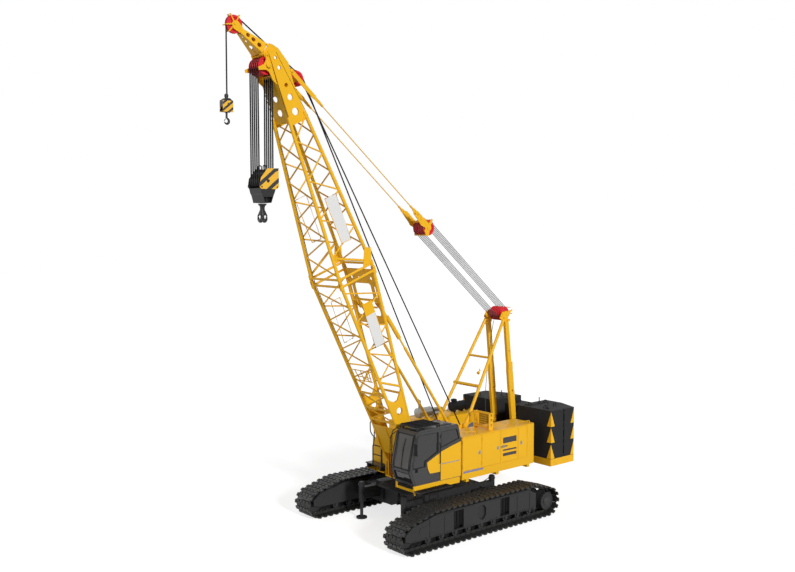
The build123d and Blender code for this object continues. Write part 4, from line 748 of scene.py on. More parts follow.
def makeRopes():
    settings = {"luff": 10, "hoist": 20, "fall": 21, "luffSheave": 214, "guideSheave": 200, "headSheave": 221,
                "blockSheave": 211, "blockSpread": 1.03, "drumHalf": 424, "turn": 24}
    luffY = [-230 + 460 / 6 * (i + 0.5) for i in range(6)]
    fallY = [-240 + 96 * (i + 0.5) for i in range(5)]
    r = settings["luffSheave"]
    runs = []
    for y in luffY:
        for side in (1, -1):
            a, b, _ = tangentPoints(gantryTop, r, bridleShaft, r, side)
            runs.append(((a[0], y, a[1]), (b[0], y, b[1])))
    straightRopes("luffingRopes", runs, settings["luff"], "wireRope")
    for name, centre, body, start in (("gantryWraps", gantryTop, "luff_line", lineAngle + pi / 2),
                                      ("bridleWraps", bridleShaft, "bridle", lineAngle - pi / 2)):
        wraps = bmesh.new()
        for y in luffY:
            addTube(wraps, arcPoints(centre, r, start, start + pi, y, 16), settings["luff"])
        piece(name, wraps, body, "wireRope")

    # hoist lines from the drums over the guide sheaves to the head and the tip
    guide, head = settings["guideSheave"], settings["headSheave"]
    woundRadius = {"main": 300, "aux": 285, "luffing": 270}
    overHead = bmesh.new()
    for drum, y, target, y1, wrap, steps in (("main", 50, headShaft, 48, 0.9, 6),
                                             ("aux", -50, tipShaft, 0, None, 10)):
        a, b, angle = tangentPoints(drums[drum], woundRadius[drum], guideShaft, guide, 1)
        straightRopes(drum + "HoistLine", [((a[0], y * 1.4, a[1]), (b[0], y, b[1]))], settings["hoist"],
                      "blackRope")
        _, b, leave = tangentPoints(guideShaft, guide, target, head, 1)
        last = leave - wrap if wrap else 0.0
        path = arcPoints(guideShaft, guide, angle, leave, y, 8) + [(b[0], y1, b[1])]
        addTube(overHead, path + arcPoints(target, head, leave, last, y1, steps)[1:], settings["hoist"])
    piece("headRopes", overHead, "boom", "blackRope")

    # falls of the main block, and the single fall of the auxiliary hook
    block, wide = settings["blockSheave"], settings["blockSpread"]
    runs = []
    for y in fallY:
        for side in (1, -1):
            runs.append(((headShaft[0] + side * head, y, headShaft[1]),
                         (blockShaft[0] + side * block, y * wide, blockShaft[1])))
    straightRopes("mainFalls", runs, settings["fall"], "blackRope")
    for name, centre, r, body, start, share in (("headWraps", headShaft, head, "main_falls", 0.0, 1),
                                                ("blockWraps", blockShaft, block, "main_block", pi, wide)):
        wraps = bmesh.new()
        for y in fallY:
            addTube(wraps, arcPoints(centre, r, start, start + pi, y * share, 16), settings["fall"])
        piece(name, wraps, body, "blackRope")
    x, z = tipShaft[0] + head, tipShaft[1]
    straightRopes("auxiliaryFall", [((x, 0, z), (x, 0, z - 1790))], settings["hoist"],
                  "blackRope")

    # rope wound on the drums, one ripple a turn
    turn, half, core = settings["turn"], settings["drumHalf"], 242
    for drum, outer in woundRadius.items():
        profile = [(core, -half), (outer - 6, -half)]
        for k in range(int(2 * half / turn)):
            low = k * turn - half
            profile += [(outer, low + turn * 0.3), (outer, low + turn * 0.7), (outer - 8, low + turn)]
        wound = bmesh.new()
        addLathe(wound, (drums[drum][0], 0, drums[drum][1]), (0, 1, 0), profile + [(core, half)], 28)
        piece(drum + "DrumRope", wound, drum + "_drum", "wireRope")
    print("ropes: luffing reeving, hoist lines and falls")


def windscreenX(z):
    # three flat faces of the cab's front, by height
    if z < 1990:
        return 2010 + 130 * (z - 1660) / 330
    if z < 2250:
        return 2140 - 35 * (z - 1990) / 260
    return 2105 - 180 * (z - 2250) / 810


def makeCab():
    settings = {"gasket": 5, "frontGasket": 10, "trim": 6, "post": 15}
    doorWindow = [(1080, 2470), (1575, 2250), (1590, 2100), (2052, 2100), (2030, 2250), (1866, 2990),
                  (1836, 3040), (1080, 3040)]
    rearWindow = [(960, 2560), (960, 3030), (370, 3040), (320, 3000), (240, 2740)]
    rearPanel = [(165, 2656), (586, 2562), (958, 2462), (992, 2448), (992, 1606), (165, 1600)]
    doorPanel = [(1012, 2440), (1529, 2222), (1502, 2043), (1425, 1875), (1012, 1866)]
    seals = bmesh.new()
    for outline, y in ((doorWindow, 1669), (rearWindow, 1661), (doorWindow, 824), (rearWindow, 824)):
        addTube(seals, [(x, y, z) for x, z in outline], settings["gasket"], closed=True)
    for y0, y1, heights in ((885, 1600, (2060, 2250, 3040)), (905, 1580, (1700, 1960))):
        ring = [(y0, heights[0])] + [(y1, z) for z in heights] + [(y0, z) for z in reversed(heights[1:])]
        addTube(seals, [(windscreenX(z) + 1, y, z) for y, z in ring], settings["frontGasket"], closed=True)
    piece("windowSeals", seals, "upper", "blackRubberAndPaintedShade")
    # the upper windscreen is clearer than the side glass
    screen = bmesh.new()
    for low, high in ((2080, 2250), (2250, 3020)):
        a, b = windscreenX(low) + 2, windscreenX(high) + 2
        addPlate(screen, [(a, 905, low), (a, 1580, low), (b, 1580, high), (b, 905, high)], (1.5, 0, 0))
    piece("windscreen", screen, "upper", "clearGlass")

    # thin dark edges round the painted panels, and the cab's rounded corner posts
    trims = bmesh.new()
    for panel, y in ((rearPanel, 1668), (doorPanel, 1676)):
        addTube(trims, [(x, y, z) for x, z in panel], settings["trim"], 6, closed=True)
    posts = [(2012, 1672), (2133, 1990), (2098, 2250), (1918, 3056), (1846, 3126), (1750, 3150), (330, 3160),
             (280, 3124)]
    for y in (1652, 833):
        addBentTube(trims, [(x, y, z) for x, z in posts], 60, settings["post"])
    addTube(trims, [(1000, 1664, 1650), (1000, 1664, 3118)], 5, 6)
    piece("cabTrims", trims, "upper", "cabPaint")
    stripe = bmesh.new()
    addBox(stripe, (232, 956), (1668, 1671), (2074, 2102))
    piece("cabStripe", stripe, "upper", "silverSteel", 1)
    handle = bmesh.new()
    addBox(handle, (1884, 1972), (1668, 1674), (1992, 2104))
    addBentTube(handle, [(1900, 1672, 2085), (1900, 1692, 2085), (1900, 1692, 2012), (1900, 1672, 2012)], 8, 7)
    addBentTube(handle, [(1040, 1668, 2120), (1040, 1720, 2140), (1040, 1720, 2700), (1040, 1668, 2720)],
                30, 11, 10)
    for z in (1800, 2900):
        addTube(handle, [(1010, 1674, z - 50), (1010, 1674, z + 50)], 12, 10)
    piece("doorHandle", handle, "upper", "blackRubberAndPaintedShade")
    makeCabRoof()
    makeCabFittings()
    makeSteps()
    print("cab: seals, rails, roof guard and console")


def makeCabRoof():
    settings = {"slatPitch": 44, "rail": 13}
    # guard grille on stays
    roof = bmesh.new()
    for y in range(880, 1590, settings["slatPitch"]):
        addBox(roof, (952, 1848), (y - 4, y + 4), (3250, 3268))
    for x in (960, 1250, 1550, 1836):
        addBox(roof, (x - 6, x + 6), (862, 1598), (3250, 3274))
    frameLine = [(945, 855), (1855, 855), (1855, 1605), (945, 1605), (945, 855)]
    addBentTube(roof, [(x, y, 3262) for x, y in frameLine], 60, settings["rail"])
    for x in (960, 1840):
        for y in (875, 1585):
            addTube(roof, [(x, y, 3140), (x, y, 3262)], settings["rail"])
    piece("roofGuard", roof, "upper", "blackRubberAndPaintedShade")
    # hatch with its handles, and the folds along both edges of the roof
    hatch = bmesh.new()
    addPlate(hatch, [(420, 960, 3162), (900, 960, 3156), (900, 1520, 3156), (420, 1520, 3162)], (0, 0, 34))
    addPlate(hatch, [(470, 1010, 3192), (850, 1010, 3188), (850, 1470, 3188), (470, 1470, 3192)], (0, 0, 14))
    for y in (1100, 1380):
        addHoop(hatch, 520, 620, y, 3196, 3230, 18, 8)
    for y in (830, 1655):
        addBentTube(hatch, [(330, y, 3172), (1740, y, 3164), (1846, y, 3136), (1930, y, 3052)], 90, 9)
    piece("roofHatch", hatch, "upper", "cabPaint", 5)


def makeCabFittings():
    # wipers, grab rails and mirrors
    fittings = bmesh.new()
    addBentTube(fittings, [(2130, 1240, 2062), (2138, 1242, 2140), (2010, 1225, 2760)], 20, 8)
    addTube(fittings, [(2052, 1205, 2560), (1976, 1265, 2920)], 8, 6)
    addBentTube(fittings, [(2040, 1240, 1820), (2052, 1300, 1850), (2096, 1420, 1950)], 20, 6, 6)
    for y in (868, 1616):
        addBentTube(fittings, [(2150, y, 2005), (2196, y, 2030), (2160, y, 2330), (1990, y, 3020),
                               (1935, y, 3066)], 70, 12)
    addBentTube(fittings, [(1996, 790, 1610), (2050, 735, 1650), (2070, 735, 2100), (2050, 735, 3060),
                           (1880, 790, 3150)], 90, 14)
    addBentTube(fittings, [(1996, 815, 1700), (2040, 640, 1700), (2060, 640, 2100), (2035, 640, 2900),
                           (1880, 815, 3080)], 90, 12)
    for z in (2050, 2500, 2850):
        addTube(fittings, [(2062, 735, z), (2052, 640, z)], 9, 6)
    addBentTube(fittings, [(1930, 1668, 2990), (2040, 1760, 3010), (2060, 1800, 2860)], 50, 10)
    addPlate(fittings, [(2052, 1740, 2520), (2052, 1860, 2520), (2060, 1870, 2540), (2064, 1870, 2840),
                        (2058, 1860, 2860), (2058, 1740, 2860)], (22, 0, 0))
    piece("cabFittings", fittings, "upper", "blackRubberAndPaintedShade")
    # console, levers and screen behind the glass
    inside = bmesh.new()
    addUpright(inside, [(1560, 1660), (1980, 1660), (2050, 1980), (1960, 2060), (1700, 1990)], 900, 660)
    addUpright(inside, [(760, 1700), (1350, 1700), (1350, 2190), (1250, 2240), (760, 2200)], 1490, 90)
    for y in (1010, 1160, 1300, 1440):
        addBentTube(inside, [(1780, y, 2000), (1740, y, 2120), (1700, y, 2300)], 60, 9)
        addLathe(inside, (1698, y, 2310), (0, 0, 1), [(0.5, -30), (18, -26), (24, 0), (16, 24), (0.5, 30)],
                 12)
    addUpright(inside, [(1800, 2250), (1815, 2250), (1800, 2520), (1785, 2520)], 880, 210)
    addTube(inside, [(1800, 980, 2040), (1800, 980, 2260)], 14)
    piece("cabConsole", inside, "upper", "blackRubberAndPaintedShade", 6)
    seat = bmesh.new()
    addBox(seat, (690, 1210), (990, 1490), (2120, 2190))
    addBox(seat, (585, 700), (1000, 1480), (2200, 2780))
    addBox(seat, (600, 700), (1100, 1380), (2800, 2960))
    piece("seatCushions", seat, "upper", "seatCloth", 30)


def makeSteps():
    settings = {"rail": 17, "thin": 11}
    rail, thin = settings["rail"], settings["thin"]
    steps = bmesh.new()
    # slatted walkway beside the cab, the sill and the step in front of it
    for x in range(780, 2000, 60):
        addBox(steps, (x, x + 12), (1672, 1892), (1470, 1482))
    addFlat(steps, [(1960, 780), (2230, 780), (2230, 1440), (2170, 1560), (1960, 1560)], 1376, 22)
    addBox(steps, (1962, 1974), (800, 1636), (1490, 1562))
    for y in range(800, 1540, 40):
        addBox(steps, (2010, 2215), (y, y + 9), (1398, 1410))
    addTube(steps, [(742, 1898, 1462), (2008, 1898, 1462)], 12)
    for x in (900, 1300, 1700):
        addPlate(steps, [(x, 1655, 1400), (x, 1655, 1470), (x, 1890, 1470), (x, 1890, 1450)], (14, 0, 0))
    # hand rails ahead of the tank
    for y in (-1330, -880):
        addTube(steps, [(1118, y, 1500), (1118, y, 2060)], 19)
    addBentTube(steps, [(1118, -880, 2000), (1118, -880, 2140), (1118, -1330, 2140), (1118, -1330, 1990)],
                70, 19)
    addTube(steps, [(1118, -1330, 1852), (1118, -880, 1852)], rail)
    addBentTube(steps, [(1118, -880, 1700), (1118, -870, 1620), (1118, -700, 1560), (1118, -690, 1510)], 60,
                rail)
    addBentTube(steps, [(1118, -1330, 2060), (1118, -1250, 2390), (1100, -1400, 2450), (1100, -1480, 2540),
                        (1100, -1490, 2840), (1100, -1380, 2890), (1060, -1330, 2800), (1060, -1330, 2440),
                        (1118, -1255, 2380)], 70, rail)
    # platform there, and the hanging steps on both sides
    for x in range(850, 1110, 40):
        addBox(steps, (x, x + 8), (-1700, -570), (1508, 1520))
    addBox(steps, (835, 1128), (-1710, -560), (1494, 1508))
    for y in (-1500, -1150):
        addBentTube(steps, [(1150, y, 1230), (1150, y, 1500)], 20, thin)
    for z in (1240, 1370):
        addTube(steps, [(1150, -1500, z), (1150, -1150, z)], thin)
    for x in (1300, 1640):
        addBentTube(steps, [(x, 1880, 1450), (x, 1905, 1440), (x, 1905, 1210)], 20, thin)
    for z in (1215, 1330):
        addTube(steps, [(1300, 1905, z), (1640, 1905, z)], thin)
    piece("stepsAndRails", steps, "upper", "blackRubberAndPaintedShade")
    deck = bmesh.new()
    addFlat(deck, [(1180, 20), (1850, 20), (2180, 230), (2210, 770), (1180, 770)], 1352, 26)
    for k in range(14):
        addBox(deck, (1240 + 64 * k, 1252 + 64 * k), (60 if k < 9 else 200, 740), (1378, 1390))
    for y in (60, 700):
        addUpright(deck, [(1180, 1180), (1180, 1352), (1800, 1352)], y, 14)
    piece("frontDeck", deck, "upper", "blackRubberAndPaintedShade", 2)


# rear and front end of each door, and the place of its latch as (x, z)
doors = {"door_left_1": (-662, 146, -571, 2199), "door_left_2": (-1478, -670, -1364, 2208),
         "door_left_3": (-2268, -1486, -1614, 2213), "door_left_4": (-2690, -2276, -2418, 2211)}
for number in (1, 2, 3):
    doors["door_right_" + str(number)] = doors["door_left_" + str(number + 1)]


def makeDoors():
    settings = {"face": 1700, "slat": 26, "edge": 26}
    y = settings["face"]
    # louvres in the third door of each side: recess frames with slanted slats
    x0, x1 = -2190, -1584
    for side, body in ((1, "door_left_3"), (-1, "door_right_2")):
        rims, slats, band = bmesh.new(), bmesh.new(), bmesh.new()
        for z0, z1 in ((2310, 2490), (2070, 2120), (1908, 2004)):
            for across, up in (((x0 - 12, x1 + 12), (z0 - 12, z0)), ((x0 - 12, x1 + 12), (z1, z1 + 12)),
                               ((x0 - 12, x0), (z0, z1)), ((x1, x1 + 12), (z0, z1))):
                addBox(rims, across, (y - 1, y + 7), up)
            addBox(slats, (x0, x1), (y - 2, y + 1), (z0, z1))
            for z in range(z0 + 8, z1 - 8, settings["slat"]):
                addPlate(slats, [(x0, y, z + 12), (x0, y + 6, z), (x0, y + 6, z + 4), (x0, y, z + 17)],
                         (x1 - x0, 0, 0))
        piece("louvreFrames." + body, rims, body, "yellowPaint", 1, side)
        piece("louvreSlats." + body, slats, body, "cabPaint", side=side)
        addBox(band, (-1790, -1490), (y - 1, y + 3), (2196, 2232))
        piece("doorBand." + body, band, body, "cabPaint", side=side)
    # latch and pressed edge of every door
    for body, (rear, front, x, z) in doors.items():
        side = 1 if "left" in body else -1
        lock = bmesh.new()
        for half, low, high, thick in ((42, 52, 52, 7), (22, 34, 20, 15)):
            addBox(lock, (x - half, x + half), (y, y + thick), (z - low, z + high))
        addLathe(lock, (x, y, z + 34), (0, 1, 0), [(0.5, 0), (11, 0), (11, 12), (0.5, 13)], 12)
        piece("latch." + body, lock, body, "silverSteel", 2, side)
        fold = bmesh.new()
        rear, front = rear + settings["edge"], front - settings["edge"]
        addTube(fold, [(rear, y + 1, 1748), (front, y + 1, 1748), (front, y + 1, 2696),
                       (rear, y + 1, 2696)], 4, 6, closed=True)
        piece("doorFold." + body, fold, body, "yellowPaint", side=side)


def makeHouse():
    settings = {"face": 1700, "rail": 9, "handle": 11, "grip": (16, 5), "gripPitch": 90}
    y = settings["face"]
    makeDoors()
    stripe = bmesh.new()
    addBox(stripe, (-730, 107), (y - 1, y + 4), (1654, 1712))
    piece("skirtStripe", stripe, "upper", "stripeBlue", 1)
    # upper and lower rail, joints and handles of the roof
    trims = bmesh.new()
    for z in (2748, 1478):
        addTube(trims, [(140, y - 6, z), (-2700, y - 6, z), (-3024, y - 34, z)], settings["rail"])
    for x in (-666, -1480, -2272):
        addBox(trims, (x - 26, x + 26), (840, 1640), (2750, 2757))
    for x0, x1, y0, high in ((-150, -520, 1560, 2830), (-2350, -2900, 1600, 2840)):
        addHoop(trims, x0, x1, y0, 2750, high, 40, settings["handle"])
    mirrorCopy(trims)
    piece("houseTrims", trims, "upper", "yellowPaint")
    # raised grip bars on the roofs, clear of the walkway's rack and the air cleaner
    grips = bmesh.new()
    halfX, halfY = settings["grip"]
    for side in (1, -1):
        for x0, x1 in ((-630, 90), (-2240, -1700)):
            for x in (x0 + (x1 - x0) * (k + 0.5) / 16 for k in range(16)):
                if side < 0 and (-1260 < x < -640 or x < -2100):
                    continue
                for j in range(7):
                    cy = side * (940 + settings["gripPitch"] * j)
                    addBox(grips, (x - halfX, x + halfX), (cy - halfY, cy + halfY), (2750, 2754))
    piece("roofGrip", grips, "upper", "yellowPaint")
    # wire grilles of the roof rack
    grille = bmesh.new()
    for x in range(-1294, -1140, 22):
        addTube(grille, [(x, 1500, 2790), (x, 1500, 3240)], 4, 6)
    for z in range(2800, 3240, 40):
        addTube(grille, [(-1296, 1500, z), (-1138, 1500, z)], 4, 6)
    for yy in range(900, 1520, 40):
        addTube(grille, [(-1150, yy, 2812), (-1150, yy, 3250)], 5, 6)
    for z in range(2830, 3250, 70):
        addTube(grille, [(-1150, 885, z), (-1150, 1525, z)], 5, 6)
    piece("rackGrille", grille, "upper", "yellowPaint")
    # front tank: filler, straps and level gauge
    tank = bmesh.new()
    addCap(tank, (480, -1290, 2270), (0, 0, 1), [(70, 0), (70, 26), (62, 40)], 24)
    for x in (260, 700):
        addTube(tank, [(x, -1694, 1370), (x, -1694, 2270), (x, -1290, 2276), (x, -886, 2270),
                       (x, -886, 1370)], 9, 6)
    addBox(tank, (825, 832), (-1300, -1260), (1500, 2150))
    piece("tankFittings", tank, "upper", "cabPaint")
    makeExhaust()
    print("housings: louvres, latches, stripe and rack")


def makeExhaust():
    settings = {"z": 2925, "y": -1250, "outlet": 38, "pipe": 58, "cleanerZ": 2950, "duct": 60}
    z, y, cleanerZ = settings["z"], settings["y"], settings["cleanerZ"]
    pipes = bmesh.new()
    for x in (-1207, -1190, -683, -666):
        addLathe(pipes, (x, y, z), (1, 0, 0), [(140, -7), (155, -7), (155, 7), (140, 7)])
    for x in (-1050, -823):
        addLathe(pipes, (x, y, z), (1, 0, 0), [(149, -20), (153, -20), (153, 20), (149, 20)])
    # curved outlet, the pipe that turns back to the engine, and the flex pipe under it
    addBentTube(pipes, [(-767, y, z + 120), (-767, y, z + 330), (-720, y, z + 410), (-668, y, z + 425)], 70,
                settings["outlet"], 16, 5)
    addBentTube(pipes, [(-1207, y, z + 40), (-1690, y, z + 40), (-1790, y, z - 10), (-1790, y, z - 90),
                        (-1700, y, z - 130)], 110, settings["pipe"], 18, 6)
    addCap(pipes, (-1520, y, z - 100), (1, 0, 0), [(70, -190), (84, -170), (84, 170), (70, 190)], 28)
    piece("exhaustPipes", pipes, "upper", "silverSteel")
    ducts = bmesh.new()
    for x in (-2735, -2600, -2320, -2176):
        addLathe(ducts, (x, y, cleanerZ), (1, 0, 0), [(146, -8), (156, -8), (156, 8), (146, 8)])
    addBentTube(ducts, [(-2740, y, cleanerZ), (-2850, y, cleanerZ), (-2900, y, 2900), (-2900, y, 2760)], 80,
                settings["duct"], 16, 5)
    addCap(ducts, (-2300, y, 3190), (0, 0, 1), [(104, -60), (112, -30), (88, 0), (40, 12)], 28)
    piece("cleanerDucts", ducts, "upper", "blackRubberAndPaintedShade")


def makeWeights():
    settings = {"outer": 2006, "proud": 3, "slabs": 3, "slabZ": 1560, "slabHeight": 520}
    y, proud = settings["outer"], settings["proud"]
    marks = bmesh.new()
    slant = Vector((-280, -756, 0)).normalized() * 165
    outward = Vector((-756, 280, 0)).normalized() * proud
    for apex, base in ((3085, 2612), (2570, 2092), (2040, 1575)):
        # front corner, then the rear one: each has one half on the side and one on the face round the corner
        addUpright(marks, [(-3471, apex), (-3474, base), (-3650, base)], y, proud)
        addPlate(marks, [(-3470, y + proud, apex), (-3470, y + proud, base), (-3470, y - 168, base)],
                 (4, 0, 0))
        addUpright(marks, [(-4594, apex), (-4594, base), (-4430, base)], y, proud)
        foot = Vector((-4597, y, base))
        addPlate(marks, [(-4597, y, apex), foot, foot + slant], outward)
    mirrorCopy(marks)
    piece("weightMarks", marks, "upper", "yellowPaint")
    irons = bmesh.new()
    for z in (settings["slabZ"] + settings["slabHeight"] * i for i in range(settings["slabs"])):
        for up in (60, 410):
            addTube(irons, [(-4110, 1996, z + up), (-4069, 1996, z + up)], 20, 10)
        # raised lip of each slab
        addBox(irons, (-4128, -4051), (2005, 2009), (z + 500, z + 512))
    # lifting irons, guide rods and pads on top
    for x, y in ((-3750, 1500), (-4350, 1400), (-3750, 850), (-4500, 850)):
        addHoop(irons, x - 60, x + 60, y, 3118, 3190, 40, 16, 10)
    for x, y in ((-3760, 1620), (-4200, 860)):
        addTube(irons, [(x, y, 3116), (x, y, 3330)], 15)
        addCap(irons, (x, y, 3116), (0, 0, 1), [(62, 0), (62, 26), (34, 44)], 16)
    addBox(irons, (-4600, -3650), (700, 900), (3116, 3138))
    mirrorCopy(irons)
    piece("weightIrons", irons, "upper", "weightPaint", 3)
    # stepped block between the two stacks
    centre = bmesh.new()
    for z0, z1 in ((1562, 2018), (2024, 2480), (2486, 2940)):
        addBox(centre, (-4866, -4060), (-552, 552), (z0, z1))
        addBox(centre, (-4866 * 0.999, -4060 * 0.999), (-552 * 0.97, 552 * 0.97), (z0 - 6, z0 + 2))
    for y in (-380, 380):
        addHoop(centre, -4400, -4540, y, 2936, 3020, 40, 18, 10)
    piece("centreWeight", centre, "upper", "weightPaint", 14)
    tray = bmesh.new()
    for x in (-3700, -4300):
        addCap(tray, (x, 2010, 1448), (0, 1, 0), [(44, -2), (44, 8), (30, 14)], 20)
    addTube(tray, [(-3464, 2007, 1556), (-4600, 2007, 1556), (-4866, 1252, 1556)], 8)
    mirrorCopy(tray)
    piece("trayTrims", tray, "upper", "yellowPaint")
    print("counterweights: marks, lifting irons")


def makeGantry():
    settings = {"pin": [(52, -14), (52, 8), (40, 18)], "legTop": (-2945, 5950, 395),
                "legFoot": (-1020, 2750, 610), "guardRadius": 262}
    fittings = bmesh.new()
    # fold pins and gussets of the rear legs, heads of the foot pins
    for x, z, y in ((-3212, 4433, 452), (-3410, 2500, 480), (-1020, 2750, 650)):
        addCap(fittings, (x, y, z), (0, 1, 0), settings["pin"], 20)
    addUpright(fittings, [(-3300, 4560), (-3140, 4560), (-3120, 4330), (-3320, 4300)], 470, 12)
    # brackets and collar at the top
    addUpright(fittings, [(-3100, 6240), (-2960, 6190), (-2880, 6060), (-3060, 5960), (-3200, 6060)], 372, 14)
    addCap(fittings, (gantryTop[0], 384, gantryTop[1]), (0, 1, 0), [(78, 0), (78, 14), (56, 24)], 24)
    # small cylinder that locks the top
    addTube(fittings, [(-3226, 400, 5941), (-3060, 400, 5842)], 34, 14)
    addTube(fittings, [(-3060, 400, 5842), (-2920, 400, 5760)], 18, 12)
    # weld collars along the front legs
    for share in (0.15, 0.5, 0.85):
        x, z, y = (a + (b - a) * share for a, b in zip(settings["legTop"], settings["legFoot"]))
        addLathe(fittings, (x, y, z), (-0.515, 0, 0.857), [(49, -18), (56, -14), (56, 14), (49, 18)], 18)
    mirrorCopy(fittings)
    # rope guard over the sheaves
    for a in (128, 180, 232):
        x = gantryTop[0] + settings["guardRadius"] * cos(radians(a))
        z = gantryTop[1] + settings["guardRadius"] * sin(radians(a))
        addTube(fittings, [(x, -345, z), (x, 345, z)], 12)
    piece("gantryFittings", fittings, "upper", "yellowPaint")
    lamp = bmesh.new()
    addTube(lamp, [(-1960, 300, 4390), (-1930, 300, 4330)], 10)
    addLathe(lamp, (-1909, 300, 4306), (0.8, 0.1, -0.6),
             [(0.5, -50), (34, -46), (52, 0), (52, 30), (46, 34), (0.5, 30)], 20)
    addTube(lamp, [(-1990, 240, 4420), (-1940, 360, 4380)], 12)
    piece("gantryLamp", lamp, "upper", "yellowPaint")
    lead = bmesh.new()
    line = [(-2900, 5900), (-2762, 5300), (-2725, 4932), (-2609, 4313), (-2534, 3577), (-2560, 2520)]
    addBentTube(lead, [(x, 0, z) for x, z in line], 200, 9)
    piece("luffingLead", lead, "upper", "wireRope")
    print("gantry: pins, collars and lamp")


def makeSigns():
    settings = {"thick": 5, "frame": 11, "stay": 9, "stayDepth": 60, "fieldShare": 0.27}
    # corners as (x, z), by the sign's distance from the middle of the boom
    signs = {708: ((4384, 9713), (4016, 9870), (3509, 8624), (3819, 8517)),
             742: ((3141, 6773), (2819, 6897), (2328, 5664), (2659, 5533))}
    blank, frames, field = bmesh.new(), bmesh.new(), bmesh.new()
    for y, corners in signs.items():
        addUpright(blank, corners, y, settings["thick"])
        addTube(frames, [(x, y, z) for x, z in corners], settings["frame"], 6, closed=True)
        for (x0, z0), (x1, z1) in (corners[:2], corners[2:]):
            for t in (0.15, 0.85):
                x, z = x0 + (x1 - x0) * t, z0 + (z1 - z0) * t
                addTube(frames, [(x, y - settings["stayDepth"], z), (x, y, z)], settings["stay"], 6)
    piece("boomSigns", blank, "boom", "whitePaint", 2)
    # the lower sign has a plain yellow field at its top
    (ax, az), (bx, bz), (cx, cz), (dx, dz) = signs[742]
    share = settings["fieldShare"]
    addUpright(field, [(ax, az), (bx, bz), (bx + (cx - bx) * share, bz + (cz - bz) * share),
                       (ax + (dx - ax) * share, az + (dz - az) * share)], 748, 2)
    piece("signField", field, "boom", "yellowPaint")
    # wire frames round the signs; the far side has the frames alone
    mirrorCopy(frames)
    piece("signFrames", frames, "boom", "yellowPaint")


def makeBoom():
    settings = {"joint": 6310, "guideBar": 13, "cable": 9}
    makeSigns()
    fittings = bmesh.new()
    # connecting pins and the cap of the foot pin
    for n in (-607, 620):
        x, z = boomPoint(settings["joint"], n)
        addCap(fittings, (x, 738, z), (0, 1, 0), [(34, -4), (34, 12), (22, 20)], 16)
    x, z = boomPoint(0, 0)
    addCap(fittings, (x, 662, z), (0, 1, 0), [(96, 0), (96, 12), (70, 24)], 24)
    # rims of the round holes in the foot and in the head's webs
    x, z = boomPoint(1950, 25)
    addLathe(fittings, (x, 590, z), (0, 1, 0), [(112, -36), (124, -36), (124, 36), (112, 36)], 28)
    for s, n, r in ((12553, -136, 45), (12282, -118, 57), (11477, -75, 86), (11078, -56, 104)):
        x, z = boomPoint(s, n)
        addLathe(fittings, (x, 357, z), (0, 1, 0), [(r - 3, -18), (r + 9, -18), (r + 9, 18), (r - 3, 18)], 28)
    # shaft ends of the head
    for (x, z), y, r in ((headShaft, 395, 74), (guideShaft, 150, 46), (pendantPin, 318, 46)):
        addCap(fittings, (x, y, z), (0, 1, 0), [(r, -2), (r, 10), (r * 0.7, 18)], 22)
    # sockets at the boom joint
    for s in (6160, 6440):
        for n in (-600, 612):
            x, z = boomPoint(s, n)
            addLathe(fittings, (x, 680, z), (cos(boomAngle), 0, sin(boomAngle)),
                     [(49, -60), (60, -50), (60, 50), (49, 60)], 20)
    mirrorCopy(fittings)
    piece("boomFittings", fittings, "boom", "yellowPaint")
    # painted shadow lines where the head's web meets its flanges: thin black strips stand in for the shade
    # under the flanges' overhang
    shadowLines = bmesh.new()
    for start, end in (((12690, -285), (10830, -352)), ((12680, -60), (10830, 300))):
        addTube(shadowLines, [(x, 369, z) for x, z in (boomPoint(*start), boomPoint(*end))], 6, 6)
    mirrorCopy(shadowLines)
    piece("headSeams", shadowLines, "boom", "blackRubberAndPaintedShade")

    # small guide frame across the front of the lower section
    def butt(s):
        # height of the lower section's front chords above the centre line
        return -205 - 402 * (s - 1500) / 4810

    def onFront(s, y):
        x, z = boomPoint(s, butt(s) - 30)
        return (x, y, z)
    guide = bmesh.new()
    bar = settings["guideBar"]
    for y in (-330, -60, 190, 330):
        addTube(guide, [onFront(3420, y), onFront(3060, y * 0.8)], bar)
    for s in (3060, 3200):
        addTube(guide, [onFront(s, -300), onFront(s, 320)], bar)
    addTube(guide, [onFront(3420, -420), onFront(3420, 420)], 15)
    addTube(guide, [onFront(3200, -60), onFront(3060, 250)], 11)
    piece("frontFrames", guide, "boom", "yellowPaint")
    # cable inside the front chords
    cable = bmesh.new()
    low = [boomPoint(s, butt(s) + 62) for s in (900, 2600, 4400, 6200)]
    high = [boomPoint(s, -607 + 277 * (s - 6310) / 4690 + 62) for s in (6500, 8500, 10900)]
    path = [(x, -600 - 18 * i, z) for i, (x, z) in enumerate(low)]
    path += [(x, -650 + 130 * i, z) for i, (x, z) in enumerate(high)]
    addBentTube(cable, path, 200, settings["cable"])
    piece("boomCable", cable, "boom", "blackRubberAndPaintedShade")
    print("boom: signs, pins and collars")


